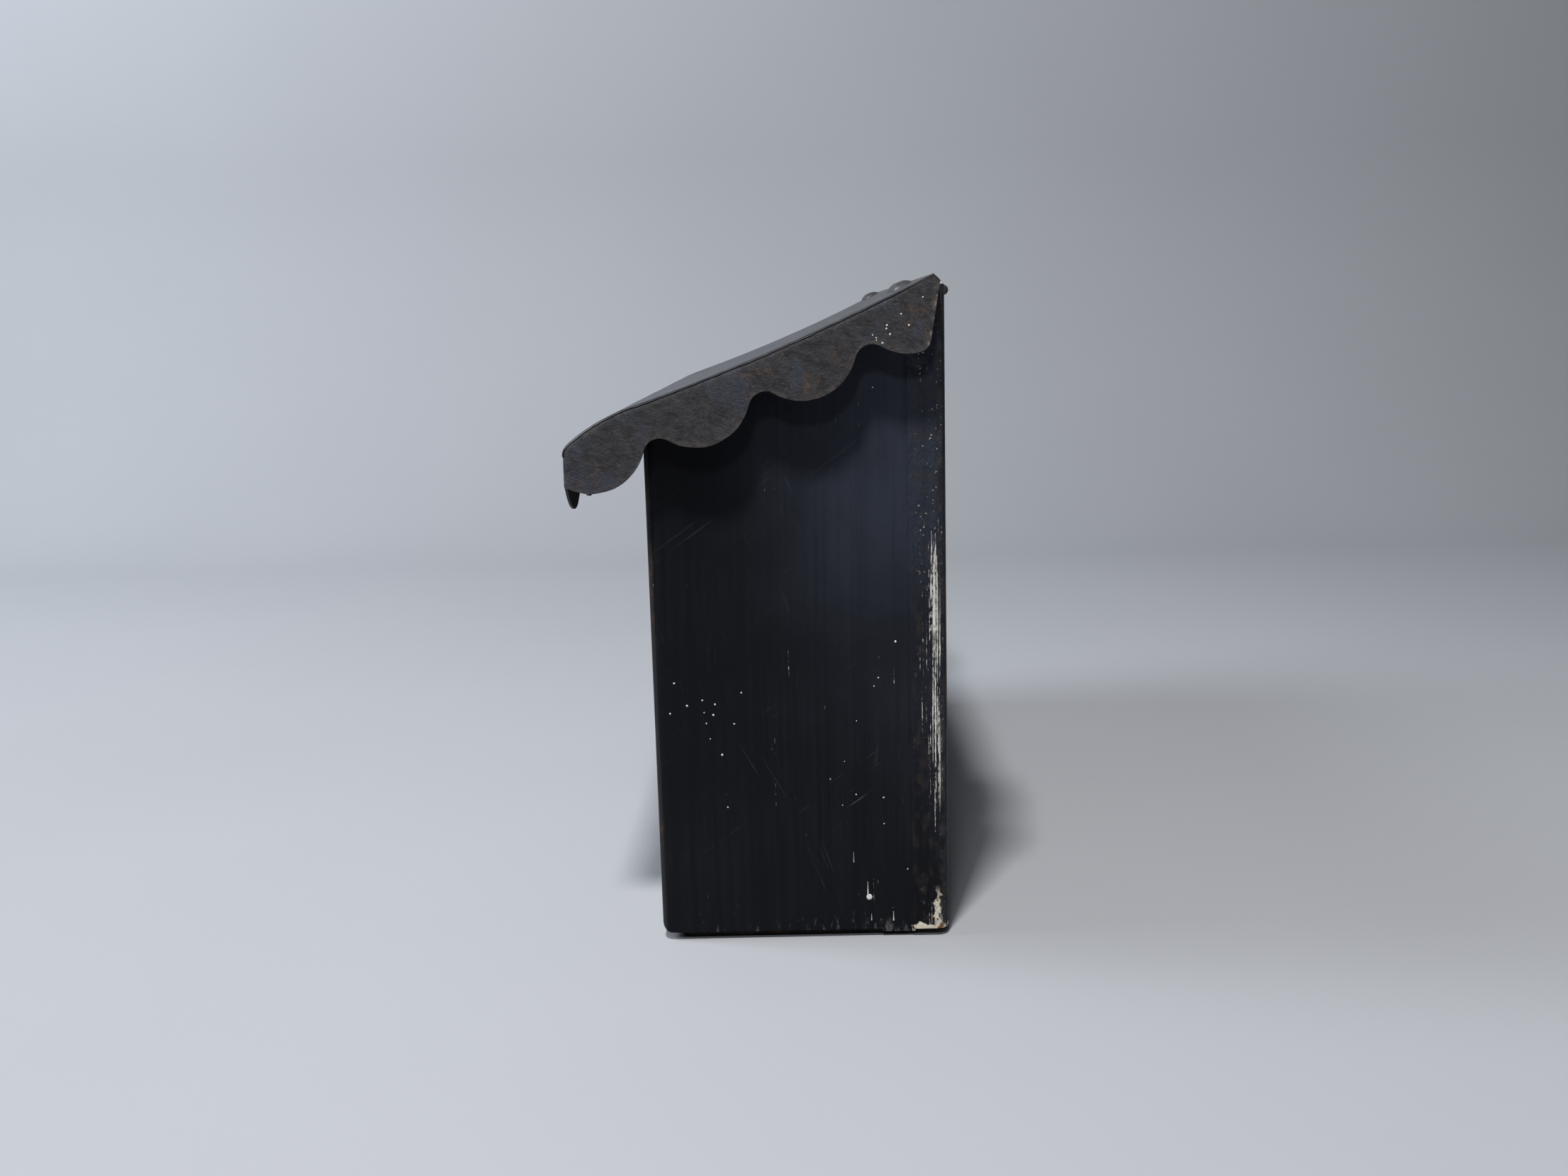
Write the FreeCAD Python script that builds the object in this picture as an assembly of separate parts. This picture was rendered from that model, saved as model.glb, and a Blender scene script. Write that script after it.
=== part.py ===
"""Wall mounted mailbox of bent sheet steel with a scalloped, hinged lid.

Millimetres. The origin is the middle of the back plate's lower edge, on its rear face.
+X is the box's right-hand end, +Y points into the wall, +Z is up, and the front faces -Y.
"""
import FreeCAD, Part

import math
import os

from FreeCAD import Vector

# Sheet steel
SHEET = 0.9                    # body, lid and bottom
BACK_SHEET = 0.8               # back plate

# Body
BODY_WIDTH = 336.0             # outside of the two ends
BODY_DEPTH = 106.0             # front face to the back plate's rear face
BODY_CORNER = 4.0              # outside radius of the upright front corners
FOOT_BEND = 3.8                # outside radius of the front's lower edge, which is turned under
FRONT_TOP = 193.2              # top edge of the front
BACK_TOP = 233.0               # top edge of the back plate
SIDE_TOP_BACK = 233.4          # top edge of the ends, carried on to the rear face
HEM_DEPTH = 9.0                # folded edge along the front's top
FOLD_GAP = 0.2                 # air inside the hem's fold

WRAP_CLEARANCE = 0.15          # from the ends' rear edges to the back plate's bends

# Back plate
FLANGE_DEPTH = 13.5            # lap of the back plate over the ends
BACK_CORNER = 4.5              # outside radius of its upright corners
WALL_HOLE_RADIUS = 2.6
WALL_HOLE_SPACING_X = 254.0
WALL_HOLE_SPACING_Z = 152.0
WALL_HOLE_CENTRE_Z = 112.0
HINGE_NOTCH_DEPTH = 4.0        # lets both leaves pass back to the barrel
HINGE_NOTCH_SIDE = 1.5         # beyond each end of the leaf

# Bottom pan
PAN_CLEARANCE = 0.15           # to the walls around it
PAN_LEDGE_Z = SHEET + PAN_CLEARANCE    # underside of the ledge beside the pressed panel
PAN_FLANGE_HEIGHT = 10.0
PLINTH_DROP = 3.0              # the pressed panel, below the body's lower edge
PLINTH_SIDE_INSET = 3.0
PLINTH_FRONT_INSET = 6.4
PLINTH_BACK_INSET = 12.5
PLINTH_CORNER = 5.0
TAB_BACK = 12.5                # folded tab under each end, distance from the back
TAB_LENGTH = 12.0
TAB_REACH = 2.0
TAB_DROP = 1.1

# Lid
LID_WIDTH = 360.0              # outside of the end skirts
LID_SLOPE = math.radians(22.3)
RIDGE_Y = -4.9
RIDGE_Z = 236.5
LIP_Y = -2.4                   # lower end of the small lip behind the ridge
LIP_Z = 233.95
SAG_SPAN = 112.0               # length of the hollowed top, along the slope
SAG = 1.9                      # how far its middle lies below its ends' chord
SAG_END_RISE = 0.5             # its front end stands this far above the slope
CROWN_RADIUS = 68.0            # the soft bend before the front
FRONT_BEND = 5.4               # outside radius of the bend into the front skirt
LID_FRONT_Y = -132.8           # outside of the front skirt
LID_EDGE_BEND = 2.5            # outside radius of the bends into the end skirts

# Scallops
LOBE_RADIUS = 18.8
LOBE_PITCH = 39.4              # along the slope
CUSP_RADIUS = 5.75
LOBE_DEPTH = 23.0              # from the slope line, square to it
FIRST_LOBE = 10.7              # centre of the rear lobe, along the slope from the ridge
SIDE_LOBES = 4
FRONT_LOBES = 9
FRONT_LOBE_BOTTOM = 157.7
SKIRT_BACK_LOW_Y = -6.2        # the end skirt's rear edge leans to here
SKIRT_BACK_LOW_Z = 212.6
SKIRT_BACK_ROUND = 0.6         # the rear lobe's arc stops this far in front of that edge

# Hinges
HINGE_X = 118.0                # centre of each hinge
HINGE_LENGTH = 40.0
LEAF = 0.9
BARREL_RADIUS = 1.8
PIN_RADIUS = 0.9
PIN_FIT = 0.05                 # radial clearance of the moving knuckle on its pin
PIN_SEAT = 0.02                # radial clearance of the fixed knuckles on their pin
HINGE_Y = 2.2                  # hinge axis
HINGE_Z = 231.4
KNUCKLE = 15.0                 # length of the moving middle knuckle
KNUCKLE_GAP = 0.3
KNUCKLE_CLEARANCE = 0.35       # around a knuckle, to the other leaf
PIN_HEAD_RADIUS = 1.5
PIN_HEAD = 0.8
LID_LEAF_REACH = 21.0          # front end of the lid's leaf, in front of the wall plane
LID_LEAF_BACK_Y = -1.3         # its rear edge beside the middle knuckle
BODY_LEAF_HEIGHT = 22.0
LEAF_GAP = 0.05                # between the lid's leaf and the lid

# Rivets
RIVET_SPREAD = 11.0            # each side of a hinge's centre
LID_RIVET_Y = -12.4
BODY_RIVET_Z = 218.0
SHANK_RADIUS = 1.6
SHANK_HOLE = 1.65
LID_HEAD_RADIUS = 4.6
LID_HEAD_HEIGHT = 2.1
LID_HEAD_LIFT = 0.02           # its flat base bridges the hollowed top
BODY_HEAD_RADIUS = 3.6
BODY_HEAD_HEIGHT = 1.6
CLENCH_RADIUS = 2.6
CLENCH_HEIGHT = 0.9

HALF_BODY = BODY_WIDTH / 2.0
HALF_LID = LID_WIDTH / 2.0

# Cutting tools
OVER = 5.0                     # how far they run past what they cut
FAR = 400.0                    # longer than the object
ALONG_X = Vector(1, 0, 0)
ALONG_Y = Vector(0, 1, 0)
DOWN = Vector(0, 0, -1)
NEAR = 0.01                    # for telling which edges lie on a plane


def box(x0, x1, y0, y1, z0, z1):
    """A block between two corners."""
    return Part.makeBox(x1 - x0, y1 - y0, z1 - z0, Vector(x0, y0, z0))


def upright_block(x0, x1, y0, y1, z0, z1, radius, corners):
    """A block whose upright edges at the named corners, such as "left front", are rounded."""
    block = box(x0, x1, y0, y1, z0, z1)
    rounded = []
    for edge in block.Edges:
        centre = edge.CenterOfMass
        upright = abs(edge.Vertexes[0].Z - edge.Vertexes[1].Z) > 0.5 * (z1 - z0)
        side = "left" if centre.x < (x0 + x1) / 2.0 else "right"
        end = "front" if centre.y < (y0 + y1) / 2.0 else "back"
        if upright and side + " " + end in corners:
            rounded.append(edge)
    return block.makeFillet(radius, rounded)


def across(points, x0, x1):
    """A prism along X from (y, z) corner points."""
    corners = [Vector(x0, y, z) for y, z in points]
    face = Part.Face(Part.makePolygon(corners + corners[:1]))
    return face.extrude(Vector(x1 - x0, 0, 0))


def drill(radius, point, direction):
    """A cutting cylinder through a sheet at point."""
    return Part.makeCylinder(radius, 2 * OVER, point - direction * OVER, direction)


def under_side_slope():
    """Everything below the sloping line of the ends' top edges."""
    points = [(-BODY_DEPTH, -OVER), (-BODY_DEPTH, FRONT_TOP), (0, SIDE_TOP_BACK), (0, -OVER)]
    return across(points, -FAR, FAR)


def above_foot(inset):
    """Everything inside the end outline's front, rounded foot and lower edge, inset from them."""
    centre = Vector(-FAR, -BODY_DEPTH + FOOT_BEND, FOOT_BEND)
    radius = FOOT_BEND - inset
    heel = centre + ALONG_Y * -radius
    sole = centre + DOWN * radius
    slant = (ALONG_Y * -1 + DOWN).normalize()
    arc = Part.Arc(heel, centre + slant * radius, sole).toShape()
    top_z = 2 * FAR
    corners = [sole, Vector(-FAR, FAR, sole.z), Vector(-FAR, FAR, top_z), Vector(-FAR, heel.y, top_z), heel]
    return closed_face([arc], corners).extrude(ALONG_X * (2 * FAR))


def body_wrap():
    """The front and both ends, one sheet with rounded upright corners and a hemmed front edge."""
    front = ["left front", "right front"]
    back_y = -BACK_CORNER - WRAP_CLEARANCE
    outside = upright_block(-HALF_BODY, HALF_BODY, -BODY_DEPTH, back_y, 0, FAR, BODY_CORNER, front)
    inner_x = HALF_BODY - SHEET
    inner_front = -BODY_DEPTH + SHEET
    inner_radius = BODY_CORNER - SHEET
    inside = upright_block(-inner_x, inner_x, inner_front, OVER, -OVER, FAR + OVER, inner_radius, front)
    behind_foot = box(-FAR, FAR, -BODY_DEPTH + FOOT_BEND, FAR, -OVER, FAR + OVER)
    wrap = outside.common(above_foot(0)).cut([inside.common(above_foot(SHEET)), inside.common(behind_foot)])
    wrap = wrap.common(under_side_slope())
    hem_x = HALF_BODY - BODY_CORNER - SHEET
    hem_front = inner_front + FOLD_GAP
    hem = box(-hem_x, hem_x, hem_front, hem_front + SHEET, FRONT_TOP - HEM_DEPTH, FRONT_TOP)
    bridge = box(-hem_x, hem_x, inner_front, hem_front + SHEET, FRONT_TOP - SHEET, FRONT_TOP)
    wrap = wrap.fuse([hem, bridge])
    for side in (-1, 1):
        edge_x = side * HALF_BODY
        reach_x = edge_x - side * (SHEET + TAB_REACH)
        tab_y = -TAB_BACK - TAB_LENGTH
        low_x, high_x = sorted((edge_x, reach_x))
        fold = box(low_x, high_x, tab_y, -TAB_BACK, -TAB_DROP, 0.0)
        wrap = wrap.fuse(fold)
    return wrap.removeSplitter()


def wall_holes():
    """The four wall screws' holes, as cutting tools."""
    tools = []
    for side in (-1, 1):
        for level in (-1, 1):
            x = side * WALL_HOLE_SPACING_X / 2.0
            z = WALL_HOLE_CENTRE_Z + level * WALL_HOLE_SPACING_Z / 2.0
            tools.append(drill(WALL_HOLE_RADIUS, Vector(x, 0, z), ALONG_Y))
    return tools


def rivet_places(side):
    """The x of each rivet in one hinge's leaves."""
    return [side * HINGE_X - RIVET_SPREAD, side * HINGE_X + RIVET_SPREAD]


def body_rivet_holes(side):
    """The rivet holes through a hinge's inner leaf and the back plate, as cutting tools."""
    return [drill(SHANK_HOLE, Vector(x, 0, BODY_RIVET_Z), ALONG_Y) for x in rivet_places(side)]


def back_plate():
    """The back, with flanges lapped forward over the ends."""
    back = ["left back", "right back"]
    outer_x = HALF_BODY + BACK_SHEET
    outside = upright_block(-outer_x, outer_x, -FLANGE_DEPTH, 0, 0, BACK_TOP, BACK_CORNER, back)
    inside = upright_block(-HALF_BODY, HALF_BODY, -FLANGE_DEPTH - OVER, -BACK_SHEET, -OVER, BACK_TOP + OVER,
                           BACK_CORNER - BACK_SHEET, back)
    folded = outside.cut(inside)
    middle = folded.common(box(-HALF_BODY, HALF_BODY, -FAR, FAR, 0, FAR))
    plate = middle.fuse(folded.common(under_side_slope()))
    tools = wall_holes()
    half_notch = HINGE_LENGTH / 2.0 + HINGE_NOTCH_SIDE
    for side in (-1, 1):
        x = side * HINGE_X
        notch_z = BACK_TOP - HINGE_NOTCH_DEPTH
        tools.append(box(x - half_notch, x + half_notch, -OVER, OVER, notch_z, BACK_TOP + OVER))
        tools += body_rivet_holes(side)
    return plate.cut(tools).removeSplitter()


def bottom_pan():
    """The bottom: a ledge with upturned flanges around a pressed-down panel."""
    every = ["left front", "right front", "left back", "right back"]
    wall_x = HALF_BODY - SHEET - PAN_CLEARANCE
    front_y = -BODY_DEPTH + SHEET + PAN_CLEARANCE
    back_y = -BACK_SHEET - PAN_CLEARANCE
    top_z = PAN_LEDGE_Z + PAN_FLANGE_HEIGHT
    corner = BODY_CORNER - SHEET
    tray = upright_block(-wall_x, wall_x, front_y, back_y, PAN_LEDGE_Z, top_z, corner, every)
    tray = tray.common(above_foot(PAN_LEDGE_Z))
    tray_hollow = upright_block(-wall_x + SHEET, wall_x - SHEET, front_y + SHEET, back_y - SHEET,
                                PAN_LEDGE_Z + SHEET, top_z + OVER, corner - SHEET, every)
    plinth_x = HALF_BODY - PLINTH_SIDE_INSET
    plinth_front = -BODY_DEPTH + PLINTH_FRONT_INSET
    plinth = upright_block(-plinth_x, plinth_x, plinth_front, -PLINTH_BACK_INSET,
                           -PLINTH_DROP, PAN_LEDGE_Z + SHEET, PLINTH_CORNER, every)
    floor_edges = [edge for edge in plinth.Edges if edge.BoundBox.ZMax < -PLINTH_DROP + NEAR]
    plinth = plinth.makeFillet(SHEET, floor_edges)
    plinth_hollow = upright_block(-plinth_x + SHEET, plinth_x - SHEET, plinth_front + SHEET,
                                  -PLINTH_BACK_INSET - SHEET, -PLINTH_DROP + SHEET, top_z,
                                  PLINTH_CORNER - SHEET, every)
    tray_hollow = tray_hollow.common(above_foot(PAN_LEDGE_Z + SHEET))
    return tray.cut(tray_hollow).fuse(plinth).cut(plinth_hollow).removeSplitter()


def slope_point(along, below):
    """(y, z) of a point given along the lid's slope from the ridge, and square below it."""
    y = RIDGE_Y - along * math.cos(LID_SLOPE) + below * math.sin(LID_SLOPE)
    z = RIDGE_Z - along * math.sin(LID_SLOPE) - below * math.cos(LID_SLOPE)
    return y, z


def at(point):
    """A (y, z) point on the plane X = 0."""
    return Vector(0, point[0], point[1])


def toward(start, end):
    """The unit direction from one point to another."""
    return (end - start).normalize()


def sag_circle():
    """Centre and radius of the lid's hollowed top, which lies on the circle's lower side."""
    middle = slope_point(SAG_SPAN / 2.0, SAG - SAG_END_RISE / 2.0)
    end = slope_point(SAG_SPAN, -SAG_END_RISE)
    circle = Part.Arc(at((RIDGE_Y, RIDGE_Z)), at(middle), at(end)).toShape().Curve
    return circle.Center, circle.Radius


def facing(angle):
    """The outward direction of a front bend where its surface falls at this angle."""
    return Vector(0, -math.sin(angle), math.cos(angle))


def arc_between(centre, radius, first, last):
    """An arc about centre between two directions."""
    middle = (first + last).normalize()
    return Part.Arc(centre + first * radius, centre + middle * radius, centre + last * radius).toShape()


def line_to_circle(point, direction, centre, radius):
    """Where a line from point first meets a circle."""
    back = point - centre
    half = back.dot(direction)
    spread = math.sqrt(half ** 2 - back.dot(back) + radius ** 2)
    crossings = [value for value in (-half - spread, -half + spread) if value > 0]
    return point + direction * min(crossings)


def lid_face(inset, low_z):
    """The lid's side outline as a closed face, inset all round by a sheet's thickness."""
    sag_centre, sag_radius = sag_circle()
    sag_end = at(slope_point(SAG_SPAN, -SAG_END_RISE))
    inward = (sag_end - sag_centre).normalize()
    start_angle = math.atan2(inward.y, -inward.z)
    crown_centre = sag_end + inward * CROWN_RADIUS
    reach = LID_FRONT_Y + FRONT_BEND - sag_end.y - CROWN_RADIUS * math.sin(start_angle)
    end_angle = math.asin(reach / (FRONT_BEND - CROWN_RADIUS))
    bend_centre = crown_centre + facing(end_angle) * (CROWN_RADIUS - FRONT_BEND)

    lip_way = Vector(0, RIDGE_Y - LIP_Y, RIDGE_Z - LIP_Z).normalize()
    lip_inward = Vector(0, -lip_way.z, lip_way.y)
    lip_end = Vector(0, LIP_Y, LIP_Z) + lip_inward * inset
    ridge = line_to_circle(lip_end, lip_way, sag_centre, sag_radius + inset)
    sag_start = (ridge - sag_centre).normalize()

    edges = [Part.LineSegment(lip_end, ridge).toShape()]
    edges.append(arc_between(sag_centre, sag_radius + inset, sag_start, inward))
    edges.append(arc_between(crown_centre, CROWN_RADIUS - inset, facing(start_angle), facing(end_angle)))
    edges.append(arc_between(bend_centre, FRONT_BEND - inset, facing(end_angle), Vector(0, -1, 0)))
    skirt_top = bend_centre + Vector(0, inset - FRONT_BEND, 0)
    behind_y = LIP_Y + (OVER if inset else 0)
    corners = [skirt_top, Vector(0, skirt_top.y, low_z), Vector(0, behind_y, low_z)]
    if inset:
        corners.append(Vector(0, behind_y, lip_end.z))
    corners.append(lip_end)
    edges += [Part.LineSegment(a, b).toShape() for a, b in zip(corners, corners[1:])]
    return Part.Face(Part.Wire(edges))


def lid_block(inset, low_z):
    """The lid's outline as a solid block with its end edges rounded."""
    half = HALF_LID - inset
    face = lid_face(inset, low_z)
    face.translate(Vector(-half, 0, 0))
    block = face.extrude(Vector(2 * half, 0, 0))
    rounded = []
    for edge in block.Edges:
        bounds = edge.BoundBox
        on_end = bounds.XLength < NEAR and abs(abs(bounds.Center.x) - half) < NEAR
        behind = bounds.Center.y > RIDGE_Y
        below = bounds.ZLength < NEAR
        if on_end and not behind and not below:
            rounded.append(edge)
    return block.makeFillet(LID_EDGE_BEND - inset, rounded)


def scallop_edges(centres, down, cusp_drop, start, end):
    """Lobes that bulge downwards, joined by small round cusps, as edges from start to end.

    centres are the lobes' centres in order, down is the unit direction they bulge in, and
    cusp_drop is how far below them the cusps' centres lie.
    """
    edges = []
    arrive = start
    for first, second in zip(centres, centres[1:]):
        cusp = (first + second) / 2.0 + down * cusp_drop
        leave = first + toward(first, cusp) * LOBE_RADIUS
        middle = first + toward(first, (arrive + leave) / 2.0) * LOBE_RADIUS
        edges.append(Part.Arc(arrive, middle, leave).toShape())
        arrive = second + toward(second, cusp) * LOBE_RADIUS
        edges.append(Part.Arc(leave, cusp - down * CUSP_RADIUS, arrive).toShape())
    last = centres[-1]
    middle = last + toward(last, (arrive + end) / 2.0) * LOBE_RADIUS
    edges.append(Part.Arc(arrive, middle, end).toShape())
    return edges


def cusp_offset(pitch):
    """How far the cusps' centres lie below the lobes' centres."""
    return math.sqrt((LOBE_RADIUS + CUSP_RADIUS) ** 2 - (pitch / 2.0) ** 2)


def on_circle_at_y(centre, y):
    """The lower point of a lobe's circle at a given y."""
    return Vector(0, y, centre.z - math.sqrt(LOBE_RADIUS ** 2 - (y - centre.y) ** 2))


def closed_face(edges, corners):
    """A face bounded by edges and the straight lines through corners."""
    lines = [Part.LineSegment(a, b).toShape() for a, b in zip(corners, corners[1:])]
    return Part.Face(Part.Wire(edges + lines))


def side_scallop_cutter():
    """Removes what lies below the end skirts' scallops, behind the front skirt's inner face."""
    start_y = LID_FRONT_Y + SHEET
    below = LOBE_DEPTH - LOBE_RADIUS
    centres = [at(slope_point(FIRST_LOBE + LOBE_PITCH * k, below)) for k in range(SIDE_LOBES)]
    centres.reverse()
    down = Vector(0, math.sin(LID_SLOPE), -math.cos(LID_SLOPE))
    start = on_circle_at_y(centres[0], start_y)
    end = on_circle_at_y(centres[-1], SKIRT_BACK_LOW_Y - SKIRT_BACK_ROUND)
    edges = scallop_edges(centres, down, cusp_offset(LOBE_PITCH), start, end)
    corners = [end, Vector(0, SKIRT_BACK_LOW_Y, SKIRT_BACK_LOW_Z), Vector(0, LIP_Y, LIP_Z),
               Vector(0, OVER, LIP_Z), Vector(0, OVER, 0), Vector(0, start_y, 0), start]
    face = closed_face(edges, corners)
    face.translate(Vector(-FAR, 0, 0))
    return face.extrude(Vector(2 * FAR, 0, 0))


def front_scallop_cutter():
    """Removes what lies below the front skirt's scallops."""
    pitch = LID_WIDTH / FRONT_LOBES
    level = FRONT_LOBE_BOTTOM + LOBE_RADIUS
    y = LID_FRONT_Y - OVER
    centres = [Vector(-HALF_LID + pitch * (k - 0.5), y, level) for k in range(FRONT_LOBES + 2)]
    start = centres[0] + DOWN * LOBE_RADIUS
    end = centres[-1] + DOWN * LOBE_RADIUS
    edges = scallop_edges(centres, DOWN, cusp_offset(pitch), start, end)
    corners = [end, Vector(end.x, y, 0), Vector(start.x, y, 0), start]
    return closed_face(edges, corners).extrude(Vector(0, OVER + SHEET, 0))


def lid_frame(y):
    """The outer face's point and outward direction on the lid's hollowed top, at a given y."""
    centre, radius = sag_circle()
    z = centre.z - math.sqrt(radius ** 2 - (y - centre.y) ** 2)
    point = Vector(0, y, z)
    outward = (centre - point).normalize()
    return point, outward


def lid_rivet_holes(side):
    """The rivet holes through the lid and a hinge's front leaf, as cutting tools."""
    point, outward = lid_frame(LID_RIVET_Y)
    return [drill(SHANK_HOLE, Vector(x, point.y, point.z), outward) for x in rivet_places(side)]


def lid_sheet():
    """The lid: a hollowed top with a lip behind, a soft front bend and scalloped skirts."""
    low_z = FRONT_LOBE_BOTTOM - OVER
    shell = lid_block(0, low_z).cut(lid_block(SHEET, low_z - OVER))
    tools = [side_scallop_cutter(), front_scallop_cutter()]
    tools += lid_rivet_holes(-1) + lid_rivet_holes(1)
    return shell.cut(tools).removeSplitter()


def lid_leaf(side):
    """The hinge leaf under the lid, with the moving middle knuckle."""
    point, outward = lid_frame(LID_RIVET_Y)
    along = Vector(0, -outward.z, outward.y)
    upper = point - outward * (SHEET + LEAF_GAP)
    lower = upper - outward * LEAF
    top_z = HINGE_Z + BARREL_RADIUS

    def at_height(base, z):
        return base + along * ((z - base.z) / along.z)

    def at_reach(base):
        return base + along * ((-LID_LEAF_REACH - base.y) / along.y)

    bend_upper = at_height(upper, top_z)
    bend_lower = at_height(lower, top_z - LEAF)
    points = [Vector(0, HINGE_Y, top_z), bend_upper, at_reach(upper), at_reach(lower), bend_lower]
    points.append(Vector(0, HINGE_Y, top_z - LEAF))
    x0 = side * HINGE_X - HINGE_LENGTH / 2.0
    x1 = x0 + HINGE_LENGTH
    leaf = across([(p.y, p.z) for p in points], x0, x1)
    knuckle0 = side * HINGE_X - KNUCKLE / 2.0
    knuckle1 = knuckle0 + KNUCKLE
    for low, high in ((x0 - OVER, knuckle0), (knuckle1, x1 + OVER)):
        leaf = leaf.cut(box(low, high, LID_LEAF_BACK_Y, FAR, 0, FAR))
    axis_start = Vector(knuckle0, HINGE_Y, HINGE_Z)
    knuckle = Part.makeCylinder(BARREL_RADIUS, KNUCKLE, axis_start, ALONG_X)
    bore = Part.makeCylinder(PIN_RADIUS + PIN_FIT, KNUCKLE, axis_start, ALONG_X)
    return leaf.fuse(knuckle).cut([bore] + lid_rivet_holes(side)).removeSplitter()


def body_leaf(side):
    """The hinge leaf inside the back plate, bent back through its notch to two outer knuckles."""
    x0 = side * HINGE_X - HINGE_LENGTH / 2.0
    x1 = x0 + HINGE_LENGTH
    outer_length = (HINGE_LENGTH - KNUCKLE) / 2.0 - KNUCKLE_GAP
    barrel_low = HINGE_Z - BARREL_RADIUS
    inner_y = -BACK_SHEET - LEAF
    upright = box(x0, x1, inner_y, -BACK_SHEET, HINGE_Z - BODY_LEAF_HEIGHT, barrel_low + LEAF)
    leaf = upright.fuse(box(x0, x1, inner_y, HINGE_Y, barrel_low, barrel_low + LEAF))
    barrels = []
    bores = []
    for start in (x0, x1 - outer_length):
        base = Vector(start, HINGE_Y, HINGE_Z)
        barrels.append(Part.makeCylinder(BARREL_RADIUS, outer_length, base, ALONG_X))
        bores.append(Part.makeCylinder(PIN_RADIUS + PIN_SEAT, outer_length, base, ALONG_X))
    gap_x0 = x0 + outer_length
    gap_length = HINGE_LENGTH - 2 * outer_length
    clear = Part.makeCylinder(BARREL_RADIUS + KNUCKLE_CLEARANCE, gap_length,
                              Vector(gap_x0, HINGE_Y, HINGE_Z), ALONG_X)
    strip = box(gap_x0, gap_x0 + gap_length, -OVER, OVER, barrel_low, HINGE_Z + OVER)
    leaf = leaf.cut([clear, strip])
    return leaf.fuse(barrels).cut(bores + body_rivet_holes(side)).removeSplitter()


def dome(radius, height, base, direction):
    """A shallow domed head standing on base, turned about its axis."""
    sphere_radius = (radius ** 2 + height ** 2) / (2.0 * height)
    half_angle = math.asin(radius / sphere_radius) / 2.0
    drop = sphere_radius - height
    top = Vector(0, 0, height)
    shoulder = Vector(sphere_radius * math.sin(half_angle), 0, sphere_radius * math.cos(half_angle) - drop)
    rim = Vector(radius, 0, 0)
    outline = Part.Arc(top, shoulder, rim).toShape()
    half = closed_face([outline], [rim, Vector(0, 0, 0), top])
    head = half.revolve(Vector(0, 0, 0), Vector(0, 0, 1), 360)
    turn = FreeCAD.Rotation(Vector(0, 0, 1), direction)
    head.Placement = FreeCAD.Placement(base, turn)
    return head


def hinge_pin(side):
    """The pin, with a small domed head at each end."""
    half = HINGE_LENGTH / 2.0 + PIN_FIT
    middle = Vector(side * HINGE_X, HINGE_Y, HINGE_Z)
    pin = Part.makeCylinder(PIN_RADIUS, 2 * half, middle - ALONG_X * half, ALONG_X)
    for way in (ALONG_X, ALONG_X * -1):
        pin = pin.fuse(dome(PIN_HEAD_RADIUS, PIN_HEAD, middle + way * half, way))
    return pin.removeSplitter()


def rivet(base, outward, grip, head_radius, head_height):
    """A rivet with a domed head on base and a shank as long as the grip."""
    head = dome(head_radius, head_height, base, outward)
    shank = Part.makeCylinder(SHANK_RADIUS, grip, base - outward * grip, outward)
    return head.fuse(shank)


def lid_rivets(side):
    """A hinge's two rivets through the lid, domed heads on top and clenched ends below."""
    point, outward = lid_frame(LID_RIVET_Y)
    grip = LID_HEAD_LIFT + SHEET + LEAF_GAP + LEAF
    rivets = []
    for x in rivet_places(side):
        base = Vector(x, point.y, point.z) + outward * LID_HEAD_LIFT
        clench = dome(CLENCH_RADIUS, CLENCH_HEIGHT, base - outward * grip, outward * -1)
        whole = rivet(base, outward, grip, LID_HEAD_RADIUS, LID_HEAD_HEIGHT).fuse(clench)
        rivets.append(whole.removeSplitter())
    return Part.Compound(rivets)


def body_rivets(side):
    """A hinge's two rivets through the back plate, domed heads inside the box, ends flush behind."""
    grip = BACK_SHEET + LEAF
    rivets = []
    for x in rivet_places(side):
        base = Vector(x, -grip, BODY_RIVET_Z)
        whole = rivet(base, ALONG_Y * -1, grip, BODY_HEAD_RADIUS, BODY_HEAD_HEIGHT)
        rivets.append(whole.removeSplitter())
    return Part.Compound(rivets)


def nodes():
    """Every piece by name."""
    pieces = {
        "body_wrap": body_wrap(),
        "back_plate": back_plate(),
        "bottom_pan": bottom_pan(),
        "lid_sheet": lid_sheet(),
    }
    for side, name in ((-1, "left"), (1, "right")):
        pieces["lid_hinge_leaf_" + name] = lid_leaf(side)
        pieces["body_hinge_leaf_" + name] = body_leaf(side)
        pieces["hinge_pin_" + name] = hinge_pin(side)
        pieces["lid_rivets_" + name] = lid_rivets(side)
        pieces["body_rivets_" + name] = body_rivets(side)
    return pieces


os.makedirs("parts", exist_ok=True)
for node, shape in nodes().items():
    shape.exportStep("parts/" + node + ".step")
    bounds = shape.BoundBox
    print(node, "solids", len(shape.Solids), "valid", shape.isValid(), "volume", round(shape.Volume, 1),
          "x", round(bounds.XMin, 1), round(bounds.XMax, 1),
          "y", round(bounds.YMin, 1), round(bounds.YMax, 1),
          "z", round(bounds.ZMin, 1), round(bounds.ZMax, 1))
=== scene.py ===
"""The looks of a wall mounted mailbox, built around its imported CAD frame.

Metres, in the frame's own axes: +X is the box's right-hand end, -Y its front, +Z up.
Lengths marked _MM are millimetres, which the building functions turn into metres.
"""

import bisect
import math
import random

import bmesh
import bpy
from mathutils import Matrix, Vector, noise


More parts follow.
